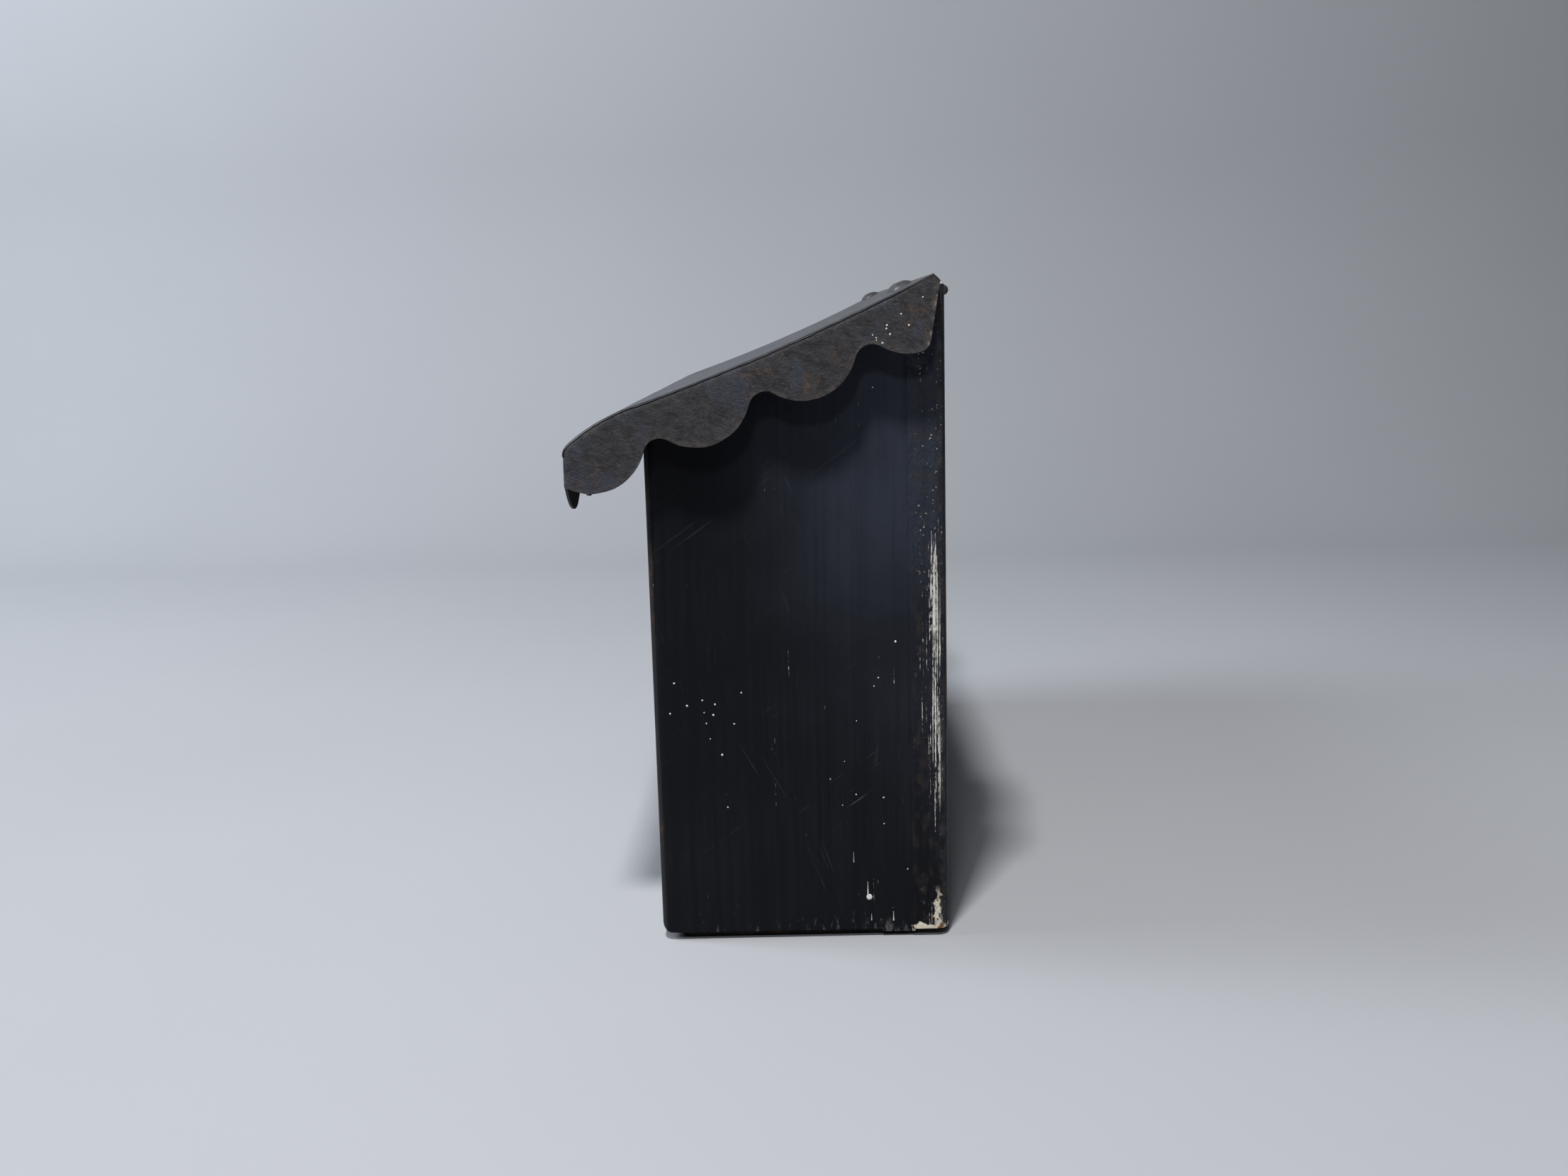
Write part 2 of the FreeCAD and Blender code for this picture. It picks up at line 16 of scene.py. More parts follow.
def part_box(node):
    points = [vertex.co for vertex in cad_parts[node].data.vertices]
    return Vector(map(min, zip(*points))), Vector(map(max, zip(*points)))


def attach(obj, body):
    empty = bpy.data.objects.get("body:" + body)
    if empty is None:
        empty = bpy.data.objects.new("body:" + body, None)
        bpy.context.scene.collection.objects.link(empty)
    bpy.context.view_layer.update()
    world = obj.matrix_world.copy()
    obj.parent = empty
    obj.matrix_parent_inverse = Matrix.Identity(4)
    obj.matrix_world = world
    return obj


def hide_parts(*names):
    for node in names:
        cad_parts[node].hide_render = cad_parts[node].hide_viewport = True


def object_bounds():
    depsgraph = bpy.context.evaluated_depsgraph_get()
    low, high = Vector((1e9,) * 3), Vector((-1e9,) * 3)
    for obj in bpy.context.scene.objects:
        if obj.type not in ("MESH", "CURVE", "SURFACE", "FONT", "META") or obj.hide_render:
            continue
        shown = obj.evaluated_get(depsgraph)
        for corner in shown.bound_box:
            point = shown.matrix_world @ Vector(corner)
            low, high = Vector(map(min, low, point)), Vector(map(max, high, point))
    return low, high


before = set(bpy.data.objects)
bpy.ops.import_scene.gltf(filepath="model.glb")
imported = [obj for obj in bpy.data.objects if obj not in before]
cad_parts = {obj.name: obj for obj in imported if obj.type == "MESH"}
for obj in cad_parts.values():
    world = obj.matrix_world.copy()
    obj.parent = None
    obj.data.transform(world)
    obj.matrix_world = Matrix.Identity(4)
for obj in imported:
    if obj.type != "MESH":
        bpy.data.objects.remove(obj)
CAD_LOW, CAD_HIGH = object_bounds()
MM = 0.001

# The lid's shape, as the CAD has it
LID_LOW, LID_HIGH = [corner / MM for corner in map(Vector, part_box("lid_sheet"))]
SLOPE = math.radians(22.3)
SHEET_MM = 0.9
LIP_DEPTH_MM = 2.5             # the lip behind the ridge
LIP_DROP_MM = 2.55
SAG_SPAN_MM = 112.0
SAG_MM = 1.9
SAG_END_RISE_MM = 0.5
CROWN_RADIUS_MM = 68.0
FRONT_BEND_MM = 5.4
EDGE_BEND_MM = 2.5
LOBE_RADIUS_MM = 18.8
CUSP_RADIUS_MM = 5.75
SIDE_PITCH_MM = 39.4
FRONT_PITCH_MM = 40.0
FIRST_LOBE_MM = 10.7
LOBE_DEPTH_MM = 23.0
REAR_CORNER_MM = 4.5
SIDE_LOBES = 4
REAR_FOOT_MM = Vector((-6.2, 212.6))     # (y, z) of the end skirt's rear lower corner
REAR_LEAN = 0.178              # how far its rear edge moves back for each millimetre up

# How finely the lid is built
EDGE_STEP_MM = 1.3
COLUMN_STEP_MM = 1.6
SKIRT_ROWS = 16
BEND_STEPS = 5
OUTLINE_BEND_STEPS = 60        # of the front bend, and as many of the crown behind it
OUTLINE_SAG_STEPS = 400
CORNER_COLUMNS = 6             # columns that the end skirts have at the front bend, at most
CORNER_STRIDE = 10             # points of the outline from one of them to the next

# How the bends over the ends tighten towards the rear, and how the columns lean to the lip there
COLUMNS_LEAN_FROM_MM = -45.0
LAST_COLUMN_MM = 0.9           # in front of the ridge
REAR_BEND_FROM_MM = -16.0
REAR_BEND_LESS_MM = 1.7
CREST_DROP_MM = 0.12
CREST_BEND_MM = 0.7
LIP_MIDDLE_BEND_MM = 0.6
LIP_BEND_MM = 0.5

# How uneven, dented and worn the lid is
CUT_DEPTH_MM = 0.35
CUT_LENGTH_MM = 5.0
BROAD_DENT_MM = 34.0
HAMMER_DENT_MM = 9.0
RIPPLE_MM = 3.6
TOP_BROAD_DEPTH_MM = 0.16
TOP_HAMMER_DEPTH_MM = 0.06
SKIRT_BROAD_DEPTH_MM = 0.42
SKIRT_HAMMER_DEPTH_MM = 0.34
SKIRT_RIPPLE_DEPTH_MM = 0.13
LIP_WEAR_MM = 4.0
EDGE_BEVEL_MM = 0.22

# Round the lid's rivets, in metres
RIVET_INSET = 0.0046           # from the side of their node's box to a rivet's middle
RIVET_FLAT = 0.004             # nothing is dented nearer than this
RIVET_FADE = 0.011             # the dents have their whole depth from here on

# Places on the box that its paint refers to, in metres
END_X = 0.168                  # outer face of each end
FRONT_Y = -0.106
SCRAPE_AT = (0.168, -0.050, 0.066)
WRINKLE_TURN = 0.39            # about the lid's slope

# Colours, as linear red, green and blue
BOX_BLACK = (0.0044, 0.0047, 0.0064)
BOX_GREY = (0.0094, 0.0104, 0.0142)
# painted reflection: the bluish sheen high on the ends' rear half
PAINTED_SHEEN_BLUE = (0.0250, 0.0295, 0.0425)
STROKE_BLUE = (0.034, 0.039, 0.050)
SCRATCH_GREY = (0.12, 0.125, 0.14)
SCUFF_GREY = (0.135, 0.130, 0.140)
CORNER_GREY = (0.085, 0.080, 0.082)
DIRTY_CREAM = (0.42, 0.40, 0.35)
CREAM = (0.72, 0.71, 0.68)
LAP_BROWN = (0.040, 0.031, 0.027)
# painted highlight along the ends' rear bends
BEND_HIGHLIGHT_GREY = (0.056, 0.053, 0.054)
SPECK_CREAM = (0.44, 0.39, 0.31)
CHIP_CREAM = (0.66, 0.60, 0.50)
DARK_RUST = (0.09, 0.035, 0.012)
RUST = (0.30, 0.14, 0.05)
INNER_BLACK = (0.020, 0.020, 0.021)
INNER_RUST = (0.075, 0.040, 0.022)
SKIRT_BLACK = (0.013, 0.012, 0.014)
SKIRT_GREY = (0.048, 0.045, 0.050)
SKIRT_BLUE = (0.043, 0.054, 0.077)
SKIRT_RUST = (0.110, 0.064, 0.042)
FLECK_GREY = (0.150, 0.148, 0.155)
PIT_BLACK = (0.012, 0.010, 0.011)
TOP_BLACK = (0.0105, 0.0110, 0.0135)
TOP_GREY = (0.0210, 0.0220, 0.0270)
DUST_GREY = (0.050, 0.047, 0.046)
WORN_BROWN = (0.095, 0.072, 0.055)
EDGE_GREY = (0.115, 0.098, 0.090)
EDGE_CREAM = (0.34, 0.29, 0.24)
UNDER_BLACK = (0.016, 0.015, 0.015)
UNDER_GREY = (0.034, 0.031, 0.030)
UNDER_RUST = (0.105, 0.050, 0.026)
HINGE_BLACK = (0.014, 0.013, 0.014)
HINGE_GREY = (0.034, 0.032, 0.033)
HINGE_RUST = (0.060, 0.034, 0.020)
HINGE_BROWN = (0.19, 0.13, 0.09)
SPLASH_GREY = (0.50, 0.49, 0.46)
SPLASH_WHITE = (0.78, 0.78, 0.77)
STAGE_GREY = (0.31, 0.32, 0.345)
STAGE_PALE = (0.34, 0.35, 0.375)

# A colour mix node's sockets
MIX_FACTOR = 0
MIX_FIRST_COLOUR = 6
MIX_SECOND_COLOUR = 7
MIX_COLOUR_OUT = 2
NOWHERE = (0.0, 0.0, 0.0)

# Camera
LENS_MM = 34.34
SENSOR_MM = 36.0
CAMERA_AT = Vector((0.690, -0.0501, 0.2223))
CAMERA_PITCH = math.radians(10.17)
CAMERA_ROLL = math.radians(-1.51)
CAMERA_YAW = math.radians(-0.84)
CAMERA_NEAR = 0.01
CAMERA_FAR = 20.0

# Stage, in metres
STAGE_BEND_X = -0.72
STAGE_BEND = 0.42
STAGE_BEND_STEPS = 16
STAGE_TOP = 2.2
STAGE_REACH = 3.6

# Lamps: where each shines from, its distance, size, watts and colour
KEY_LAMP = ((0.385, -0.100, 0.917), 1.3, 0.13, 24.0, (1.0, 0.99, 0.97))
SECOND_LAMP = ((0.763, -0.070, 0.643), 1.3, 0.14, 4.5, (0.97, 0.98, 1.0))
OVERHEAD_LAMP = ((-0.2, 0.1, 1.0), 1.5, 1.4, 0.8, (0.94, 0.97, 1.0))
BACKDROP_LAMP = ((0.75, -0.55, 0.55), 1.5, 0.8, 32.0, (0.90, 0.95, 1.0))
BACKDROP_MIDDLE = Vector((-1.1, -0.6, 0.5))
WORLD_COLOUR = (0.78, 0.84, 0.95, 1.0)
WORLD_STRENGTH = 0.035


# ---------------------------------------------------------------- material nodes

class Paint:
    """A material built node by node. Each method adds nodes and gives back their result."""

    def __init__(self, name):
        self.material = bpy.data.materials.new(name)
        self.material.use_nodes = True
        self.tree = self.material.node_tree
        self.tree.nodes.clear()
        self.place = self.put("ShaderNodeTexCoord").outputs["Object"]
        self.x, self.y, self.z = self.put("ShaderNodeSeparateXYZ", {0: self.place}).outputs

    def put(self, kind, inputs=None, **settings):
        """A node with its settings and inputs, each a number, a vector or another node's socket."""
        made = self.tree.nodes.new(kind)
        for key, value in settings.items():
            setattr(made, key, value)
        for key, value in (inputs or {}).items():
            if isinstance(value, bpy.types.NodeSocket):
                self.tree.links.new(value, made.inputs[key])
            else:
                made.inputs[key].default_value = value
        return made

    def calc(self, operation, first, second=0.0):
        """A maths node's result."""
        return self.put("ShaderNodeMath", {0: first, 1: second}, operation=operation).outputs[0]

    def times(self, first, *others):
        """The product of two or more values."""
        for other in others:
            first = self.calc("MULTIPLY", first, other)
        return first

    def plus(self, first, *others):
        """The sum of two or more values."""
        for other in others:
            first = self.calc("ADD", first, other)
        return first

    def minus(self, first, second):
        return self.calc("SUBTRACT", first, second)

    def larger(self, first, second):
        return self.calc("MAXIMUM", first, second)

    def size(self, value):
        """The value without its sign."""
        return self.calc("ABSOLUTE", value)

    def step(self, value, low, high, from_value=0.0, to_value=1.0):
        """Goes smoothly between two values as value goes from low to high."""
        inputs = {"Value": value, "From Min": low, "From Max": high, "To Min": from_value, "To Max": to_value}
        return self.put("ShaderNodeMapRange", inputs, interpolation_type="SMOOTHSTEP").outputs["Result"]

    def blend(self, factor, first, second):
        """Goes from one colour to another as factor goes from 0 to 1."""
        first, second = [shade if isinstance(shade, bpy.types.NodeSocket) else (*shade, 1.0)
                         for shade in (first, second)]
        inputs = {MIX_FACTOR: factor, MIX_FIRST_COLOUR: first, MIX_SECOND_COLOUR: second}
        return self.put("ShaderNodeMix", inputs, data_type="RGBA").outputs[MIX_COLOUR_OUT]

    def stretched(self, scale, turn=NOWHERE, shift=NOWHERE):
        """The point on the surface, turned and shifted and then scaled along each axis."""
        place = self.place
        if any(turn) or any(shift):
            inputs = {"Vector": place, "Location": shift, "Rotation": turn}
            place = self.put("ShaderNodeMapping", inputs).outputs[0]
        return self.put("ShaderNodeMapping", {"Vector": place, "Scale": scale}).outputs[0]

    def grain(self, scale, detail=3.0, rough=0.55, twist=0.0, place=None):
        """Fractal noise from 0 to 1; scale is its fineness, in features per metre of place."""
        inputs = {"Vector": place or self.place, "Scale": scale, "Detail": detail, "Roughness": rough,
                  "Distortion": twist}
        return self.put("ShaderNodeTexNoise", inputs).outputs["Fac"]

    def strokes(self, scales, detail=5.0, rough=0.7, turn=NOWHERE, shift=NOWHERE):
        """Fractal noise stretched into strokes: scales are its fineness along each axis."""
        return self.grain(1.0, detail, rough, place=self.stretched(scales, turn, shift))

    def bumps(self, *layers):
        """Reliefs on top of each other, each a height and its depth in metres."""
        normal = None
        for height, depth in layers:
            inputs = {"Height": height, "Distance": depth, "Strength": 1.0}
            if normal is not None:
                inputs["Normal"] = normal
            normal = self.put("ShaderNodeBump", inputs).outputs[0]
        return normal

    def finish(self, colour, roughness, normal, specular):
        """Adds the surface shader and gives back the material."""
        inputs = {"Base Color": colour, "Roughness": roughness, "Normal": normal,
                  "Specular IOR Level": specular, "Metallic": 0.0, "Coat Weight": 0.0}
        surface = self.put("ShaderNodeBsdfPrincipled", inputs)
        self.put("ShaderNodeOutputMaterial", {"Surface": surface.outputs[0]})
        return self.material


# ---------------------------------------------------------------- the box's paint

def near_end(p, start, full):
    """0 at one depth inside the ends' outer faces and 1 at another, in metres."""
    return p.step(p.size(p.x), END_X - start, END_X - full)


def scratch_lines(p, angle, seed, fineness=900.0, length=24.0):
    """Thin broken scratches on the ends, upright but leaning at an angle, in patches."""
    lines = p.strokes((1.0, fineness, length), 4.0, 0.65, (angle, 0.0, 0.0), (0.0, seed, 0.0))
    patches = p.grain(34.0, 3.0, place=p.stretched((1.0, 1.0, 1.0), shift=(seed, 0.0, seed)))
    return p.times(p.step(lines, 0.60, 0.69), p.step(patches, 0.54, 0.66))


def pale_runs(p):
    """Where old pale paint shows down the rear edges of the ends, from 0 to 1."""
    wander = p.strokes((0.0, 0.0, 26.0), 3.0, 0.55)
    line_y = p.plus(p.y, p.times(p.minus(wander, 0.5), 0.004))
    close = p.step(p.size(p.plus(line_y, 0.0038)), 0.0006, 0.0030, 1.0, 0.0)
    near = p.step(p.size(p.plus(line_y, 0.0065)), 0.0010, 0.0080, 1.0, 0.0)
    along = p.times(p.step(p.z, 0.180, 0.120), p.step(p.z, 0.028, 0.062, 0.35, 1.0))
    foot = p.step(p.z, 0.032, 0.0, 0.0, 1.0)
    cover = p.times(p.plus(p.times(close, 0.095), p.times(near, 0.085)), p.larger(along, foot))
    threads = p.strokes((0.0, 2100.0, 26.0), 2.0, 0.5)
    flakes = p.strokes((0.0, 1500.0, 420.0), 4.0)
    patches = p.strokes((0.0, 120.0, 45.0), 3.0, 0.6)
    broken = p.plus(p.times(threads, 0.45), p.times(flakes, 0.30), p.times(patches, 0.25))
    shown = p.step(p.plus(broken, cover), 0.645, 0.685)
    return p.times(shown, near_end(p, 0.0010, 0.0004))


def corner_chip(p):
    """The cream chip at the rear lower corner of each end, from 0 to 1."""
    ragged = p.times(p.minus(p.grain(330.0, 4.0), 0.5), 0.006)
    low = p.step(p.minus(p.z, p.plus(0.0015, ragged)), 0.0004, -0.0004)
    low = p.times(low, p.step(p.plus(p.y, ragged), -0.0135, -0.0125))
    upright = p.step(p.size(p.plus(p.y, p.plus(0.0042, ragged))), 0.0011, 0.0007)
    upright = p.times(upright, p.step(p.z, 0.017, 0.011))
    return p.times(p.larger(low, upright), near_end(p, 0.0030, 0.0024))


def brushed_black_with_sheen(p, brushed, cloud):
    """Black paint with brush strokes, and a painted sheen: a bluish reflection painted into the colour high
    on the ends' rear half.
    """
    # painted sheen: a bluish reflection painted into the colour, high on the ends' rear half and broken by
    # the brush strokes
    painted_sheen = p.times(p.step(p.plus(p.z, p.y), 0.005, 0.150), p.step(p.y, -0.098, -0.040),
                    p.step(cloud, 0.34, 0.62, 0.5, 1.0), p.step(brushed, 0.32, 0.60, 0.80, 1.0))
    tone = p.times(p.step(brushed, 0.30, 0.74), p.step(cloud, 0.3, 0.7))
    colour = p.blend(tone, BOX_BLACK, BOX_GREY)
    colour = p.blend(painted_sheen, colour, PAINTED_SHEEN_BLUE)
    long_strokes = scratch_lines(p, -0.33, 5.3, 520.0, 9.0)
    return p.blend(p.times(long_strokes, 0.45), colour, STROKE_BLUE)


def scratched(p, colour):
    """Scratches: many about one scraped place on the right-hand end, and few elsewhere."""
    away = p.put("ShaderNodeVectorMath", {0: p.place, 1: SCRAPE_AT}, operation="DISTANCE").outputs["Value"]
    scraped = p.step(away, 0.010, 0.034, 1.0, 0.12)
    for angle, seed, strength in ((0.95, 3.1, 1.0), (-0.50, 7.7, 0.25), (0.10, 11.3, 0.45)):
        marks = p.times(scratch_lines(p, angle, seed), scraped)
        colour = p.blend(p.times(marks, strength), colour, SCRATCH_GREY)
    return colour


def foot_scuffs(p, cloud):
    """Pale scuffs along the lower edge, most of them towards the back, from 0 to 1."""
    reach = p.times(p.step(p.z, 0.011, 0.0, 0.0, 0.22), p.step(cloud, 0.40, 0.58, 0.25, 1.0),
                    p.step(p.y, -0.085, -0.030, 0.55, 1.0))
    dust = p.strokes((300.0, 300.0, 95.0))
    return p.times(p.step(p.plus(dust, reach), 0.64, 0.76), p.step(p.z, 0.020, 0.003))


def lap_wear_and_bend_highlight(p, colour):
    """Brown patches, a painted highlight along the rear bend, and pale specks on the back plate's lap over
    the ends.
    """
    on_lap = p.times(p.step(p.y, -0.0150, -0.0115), near_end(p, 0.0020, 0.0005))
    patches = p.grain(260.0, 5.0, 0.7, place=p.stretched((1.0, 1.0, 0.5)))
    colour = p.blend(p.times(p.step(patches, 0.47, 0.66), on_lap, 0.40), colour, LAP_BROWN)
    # painted highlight: a paler band down each end's rear bend, broken up by noise
    pale_streaks = p.times(p.step(p.y, -0.0042, -0.0022), near_end(p, 0.0040, 0.0025),
                     p.step(p.grain(150.0, 5.0, 0.7), 0.38, 0.60))
    colour = p.blend(p.times(pale_streaks, 0.6), colour, BEND_HIGHLIGHT_GREY)
    specks = p.times(p.step(p.grain(880.0, 2.0, 0.5), 0.69, 0.72), on_lap, p.step(p.z, 0.110, 0.150),
                     p.step(p.y, -0.0120, -0.0085))
    return p.blend(p.times(specks, 0.8), colour, SPECK_CREAM)


def box_paint(name, lumpy):
    """Satin blue-black paint: brushed, scratched and dusty, with pale runs at the ends' rear edges."""
    p = Paint(name)
    brushed = p.strokes((420.0, 420.0, 9.0), 5.0, 0.65)
    cloud = p.grain(13.0, 5.0, 0.6)
    fine = p.grain(420.0, 3.0)
    scuffs = foot_scuffs(p, cloud)
    runs = pale_runs(p)
    chip = corner_chip(p)

    colour = scratched(p, brushed_black_with_sheen(p, brushed, cloud))
    colour = p.blend(p.times(scuffs, 0.55), colour, SCUFF_GREY)
    front_corner = p.times(p.step(p.y, FRONT_Y + 0.0030, FRONT_Y + 0.0008), near_end(p, 0.0050, 0.0030))
    pale_streaks = p.step(p.strokes((240.0, 240.0, 60.0)), 0.50, 0.66)
    colour = p.blend(p.times(front_corner, pale_streaks, 0.35), colour, CORNER_GREY)
    colour = p.blend(runs, colour, p.blend(p.grain(260.0, 4.0), DIRTY_CREAM, CREAM))
    colour = lap_wear_and_bend_highlight(p, colour)
    rust = p.blend(p.grain(900.0, 4.0), DARK_RUST, RUST)
    colour = p.blend(chip, colour, p.blend(p.step(fine, 0.52, 0.64), CHIP_CREAM, rust))

    inside = p.times(near_end(p, 0.0006, 0.0008), p.step(p.y, FRONT_Y + 0.0004, FRONT_Y + 0.0006),
                     p.step(p.y, -0.0004, -0.0006))
    inner_tone = p.blend(p.step(p.grain(60.0, 6.0, 0.7), 0.50, 0.70), INNER_BLACK, INNER_RUST)
    colour = p.blend(p.times(inside, 0.85), colour, inner_tone)
    rough = p.plus(0.33, p.times(cloud, 0.14), p.times(p.larger(runs, scuffs), 0.30), p.times(inside, 0.22))

    lumps = p.grain(230.0, 4.0, 0.6, place=p.stretched((1.0, 1.0, 0.6)))
    lump_height = p.times(lumps, p.step(p.y, -0.0180, -0.0120, 0.12, 1.0))
    pitted = p.plus(p.times(runs, 0.5), p.times(chip, -0.7))
    normal = p.bumps((p.grain(9.0, 2.0), 0.0030), (brushed, 0.00006), (fine, 0.000035),
                     (lump_height, 0.0014 * lumpy), (pitted, 0.00012))
    return p.finish(colour, rough, normal, 0.10)


# ---------------------------------------------------------------- the other paints

def skirt_colours(p, wrinkle, crinkle, patch):
    """Mottled grey and blue, with rust, pale flecks and dark pits."""
    colour = p.blend(p.step(wrinkle, 0.34, 0.66), SKIRT_BLACK, SKIRT_GREY)
    colour = p.blend(p.times(p.step(patch, 0.49, 0.62), 0.55), colour, SKIRT_BLUE)
    rust = p.grain(110.0, 6.0, 0.72, 0.4, place=p.stretched((1.0, 1.0, 1.0), shift=(3.0, 5.0, 1.0)))
    colour = p.blend(p.times(p.step(rust, 0.56, 0.66), 0.50), colour, SKIRT_RUST)
    flecks = p.step(p.grain(760.0, 4.0, 0.7, 0.6), 0.635, 0.71)
    colour = p.blend(p.times(flecks, 0.65), colour, FLECK_GREY)
    return p.blend(p.times(p.step(crinkle, 0.36, 0.28), 0.7), colour, PIT_BLACK)


def top_colours(p, brushed, dusty):
    """Dark brushed paint under dust, worn through in spots."""
    colour = p.blend(p.step(brushed, 0.35, 0.68), TOP_BLACK, TOP_GREY)
    colour = p.blend(p.step(dusty, 0.55, 0.72, 0.0, 0.55), colour, DUST_GREY)
    worn = p.step(p.grain(300.0, 5.0, 0.75), 0.60, 0.68)
    return p.blend(p.times(worn, 0.35), colour, WORN_BROWN)


def skirt_rear_edge(p):
    """The pale line down the end skirts' leaning rear edges, from 0 to 1."""
    level_y = p.plus(p.y, p.times(p.minus(p.z, REAR_FOOT_MM.y * MM), -REAR_LEAN))
    edge = p.step(p.size(p.plus(level_y, 0.0066)), 0.0008, 0.0003)
    return p.times(edge, p.step(p.z, 0.2350, 0.2300), p.step(p.grain(520.0, 4.0), 0.50, 0.60))


def lid_paint(name):
    """Thick dark paint: brushed on the top, wrinkled, mottled and rust-tinted on the skirts."""
    p = Paint(name)
    skirt = p.put("ShaderNodeAttribute", attribute_name="skirt").outputs["Fac"]
    rim = p.put("ShaderNodeAttribute", attribute_name="rim").outputs["Fac"]
    wrinkle = p.grain(300.0, 8.0, 0.78, 0.25, place=p.stretched((1.0, 0.7, 1.25), (WRINKLE_TURN, 0.0, 0.0)))
    crinkle = p.grain(900.0, 4.0, 0.7, 0.8)
    patch = p.grain(62.0, 4.0, 0.62, 0.5)
    brushed = p.strokes((5.0, 420.0, 420.0), 4.0, 0.6)
    dusty = p.grain(24.0, 6.0, 0.7)
    mask = p.step(p.plus(skirt, p.times(p.minus(patch, 0.5), 0.5)), 0.35, 0.65)

    colour = p.blend(mask, top_colours(p, brushed, dusty), skirt_colours(p, wrinkle, crinkle, patch))
    edge_wear = p.times(rim, p.step(p.grain(210.0, 5.0, 0.7), 0.38, 0.58))
    colour = p.blend(p.times(edge_wear, 0.55), colour, EDGE_GREY)
    colour = p.blend(p.times(skirt_rear_edge(p), 0.5), colour, EDGE_CREAM)
    rough_top = p.plus(0.24, p.times(dusty, 0.22))
    rough_skirt = p.plus(0.42, p.times(wrinkle, 0.25))
    rough = p.put("ShaderNodeMix", {0: mask, 2: rough_top, 3: rough_skirt}, data_type="FLOAT").outputs[0]

    hammered = p.times(p.grain(85.0, 3.0), mask)
    deep = p.times(p.plus(wrinkle, p.times(crinkle, 0.60)), mask)
    stroke_height = p.times(brushed, p.minus(1.0, mask))
    normal = p.bumps((hammered, 0.0014), (deep, 0.00125), (stroke_height, 0.00008), (crinkle, 0.00005))
    return p.finish(colour, rough, normal, 0.32)


def hinge_paint(name, wear):
    """Thick dark paint over steel, brown where it has worn through."""
    p = Paint(name)
    broad = p.grain(160.0, 5.0, 0.7)
    fine = p.grain(900.0, 4.0, 0.65)
    through = p.step(p.plus(broad, wear), 0.60, 0.72)
    colour = p.blend(p.step(fine, 0.3, 0.7), HINGE_BLACK, HINGE_GREY)
    colour = p.blend(p.times(through, 0.85), colour, p.blend(fine, HINGE_RUST, HINGE_BROWN))
    normal = p.bumps((broad, 0.00035), (fine, 0.00008), (through, 0.00005))
    return p.finish(colour, p.plus(0.36, p.times(through, 0.28)), normal, 0.5)


def splash_paint(name):
    """Small dried splashes of white house paint."""
    p = Paint(name)
    fine = p.grain(1500.0, 3.0)
    colour = p.blend(p.step(fine, 0.35, 0.65), SPLASH_GREY, SPLASH_WHITE)
    return p.finish(colour, p.plus(0.38, p.times(fine, 0.2)), p.bumps((fine, 0.00005)), 0.4)


def under_paint(name):
    """The lid's underside: thin dark paint with old rust coming through."""
    p = Paint(name)
    broad = p.grain(38.0, 6.0, 0.72)
    fine = p.grain(520.0, 5.0, 0.7)
    colour = p.blend(p.step(fine, 0.3, 0.7), UNDER_BLACK, UNDER_GREY)
    rust = p.step(p.plus(broad, p.times(fine, 0.2)), 0.62, 0.78)
    colour = p.blend(p.times(rust, 0.8), colour, UNDER_RUST)
    normal = p.bumps((broad, 0.0004), (fine, 0.00010))
    return p.finish(colour, p.plus(0.52, p.times(broad, 0.3)), normal, 0.35)


def stage_paint(name):
    """A pale matt surface with the slightest mottling."""
    p = Paint(name)
    colour = p.blend(p.grain(3.0, 4.0), STAGE_GREY, STAGE_PALE)
    return p.finish(colour, 0.75, p.bumps((p.grain(500.0, 2.0), 0.00002)), 0.2)


BODY_PAINT = box_paint("satin_blue_black", 0.45)
BACK_PAINT = box_paint("lumpy_blue_black", 1.0)
LID_PAINT = lid_paint("wrinkled_dark_paint")
UNDER_PAINT = under_paint("rusty_underside")
HINGE_PAINT = hinge_paint("worn_hinge_paint", 0.06)
RIVET_PAINT = hinge_paint("painted_rivets", -0.02)
SPLASH_PAINT = splash_paint("white_splashes")

PAINTED_NODES = {
    "body_wrap": BODY_PAINT, "bottom_pan": BODY_PAINT, "back_plate": BACK_PAINT,
    "lid_hinge_leaf_left": HINGE_PAINT, "lid_hinge_leaf_right": HINGE_PAINT,
    "body_hinge_leaf_left": HINGE_PAINT, "body_hinge_leaf_right": HINGE_PAINT,
    "hinge_pin_left": HINGE_PAINT, "hinge_pin_right": HINGE_PAINT,
    "lid_rivets_left": RIVET_PAINT, "lid_rivets_right": RIVET_PAINT,
    "body_rivets_left": RIVET_PAINT, "body_rivets_right": RIVET_PAINT,
}
for node, painted in PAINTED_NODES.items():
    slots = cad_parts[node].data.materials
    slots.clear()
    slots.append(painted)


# ---------------------------------------------------------------- building pieces

def new_piece(name, points_mm, faces, body, materials):
    """A smooth mesh piece that rides on a body."""
    data = bpy.data.meshes.new(name)
    data.from_pydata([Vector(point) * MM for point in points_mm], [], faces)
    shell = bmesh.new()
    shell.from_mesh(data)
    bmesh.ops.recalc_face_normals(shell, faces=shell.faces)
    shell.to_mesh(data)
    shell.free()
    for polygon in data.polygons:
        polygon.use_smooth = True
    for painted in materials:
        data.materials.append(painted)
    piece = bpy.data.objects.new(name, data)
    bpy.context.scene.collection.objects.link(piece)
    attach(piece, body)
    return piece


def ease(low, high, value):
    """0 below low, 1 above high, and smooth between."""
    t = min(1.0, max(0.0, (value - low) / (high - low)))
    return t * t * (3.0 - 2.0 * t)


def wavy(point, size, seed):
    """Smooth noise from 0 to 1 with bumps of about this size."""
    return 0.5 + 0.5 * noise.noise(point / size + Vector((seed, seed * 1.7, seed * 0.6)))


# ---------------------------------------------------------------- the lid

def circle_centre(first, middle, last):
    """The centre of the circle through three (y, z) points."""
    a = middle - first
    b = last - first
    twice = 2.0 * (a.x * b.y - a.y * b.x)
    offset = Vector((b.y * a.dot(a) - a.y * b.dot(b), a.x * b.dot(b) - b.x * a.dot(a))) / twice
    return first + offset


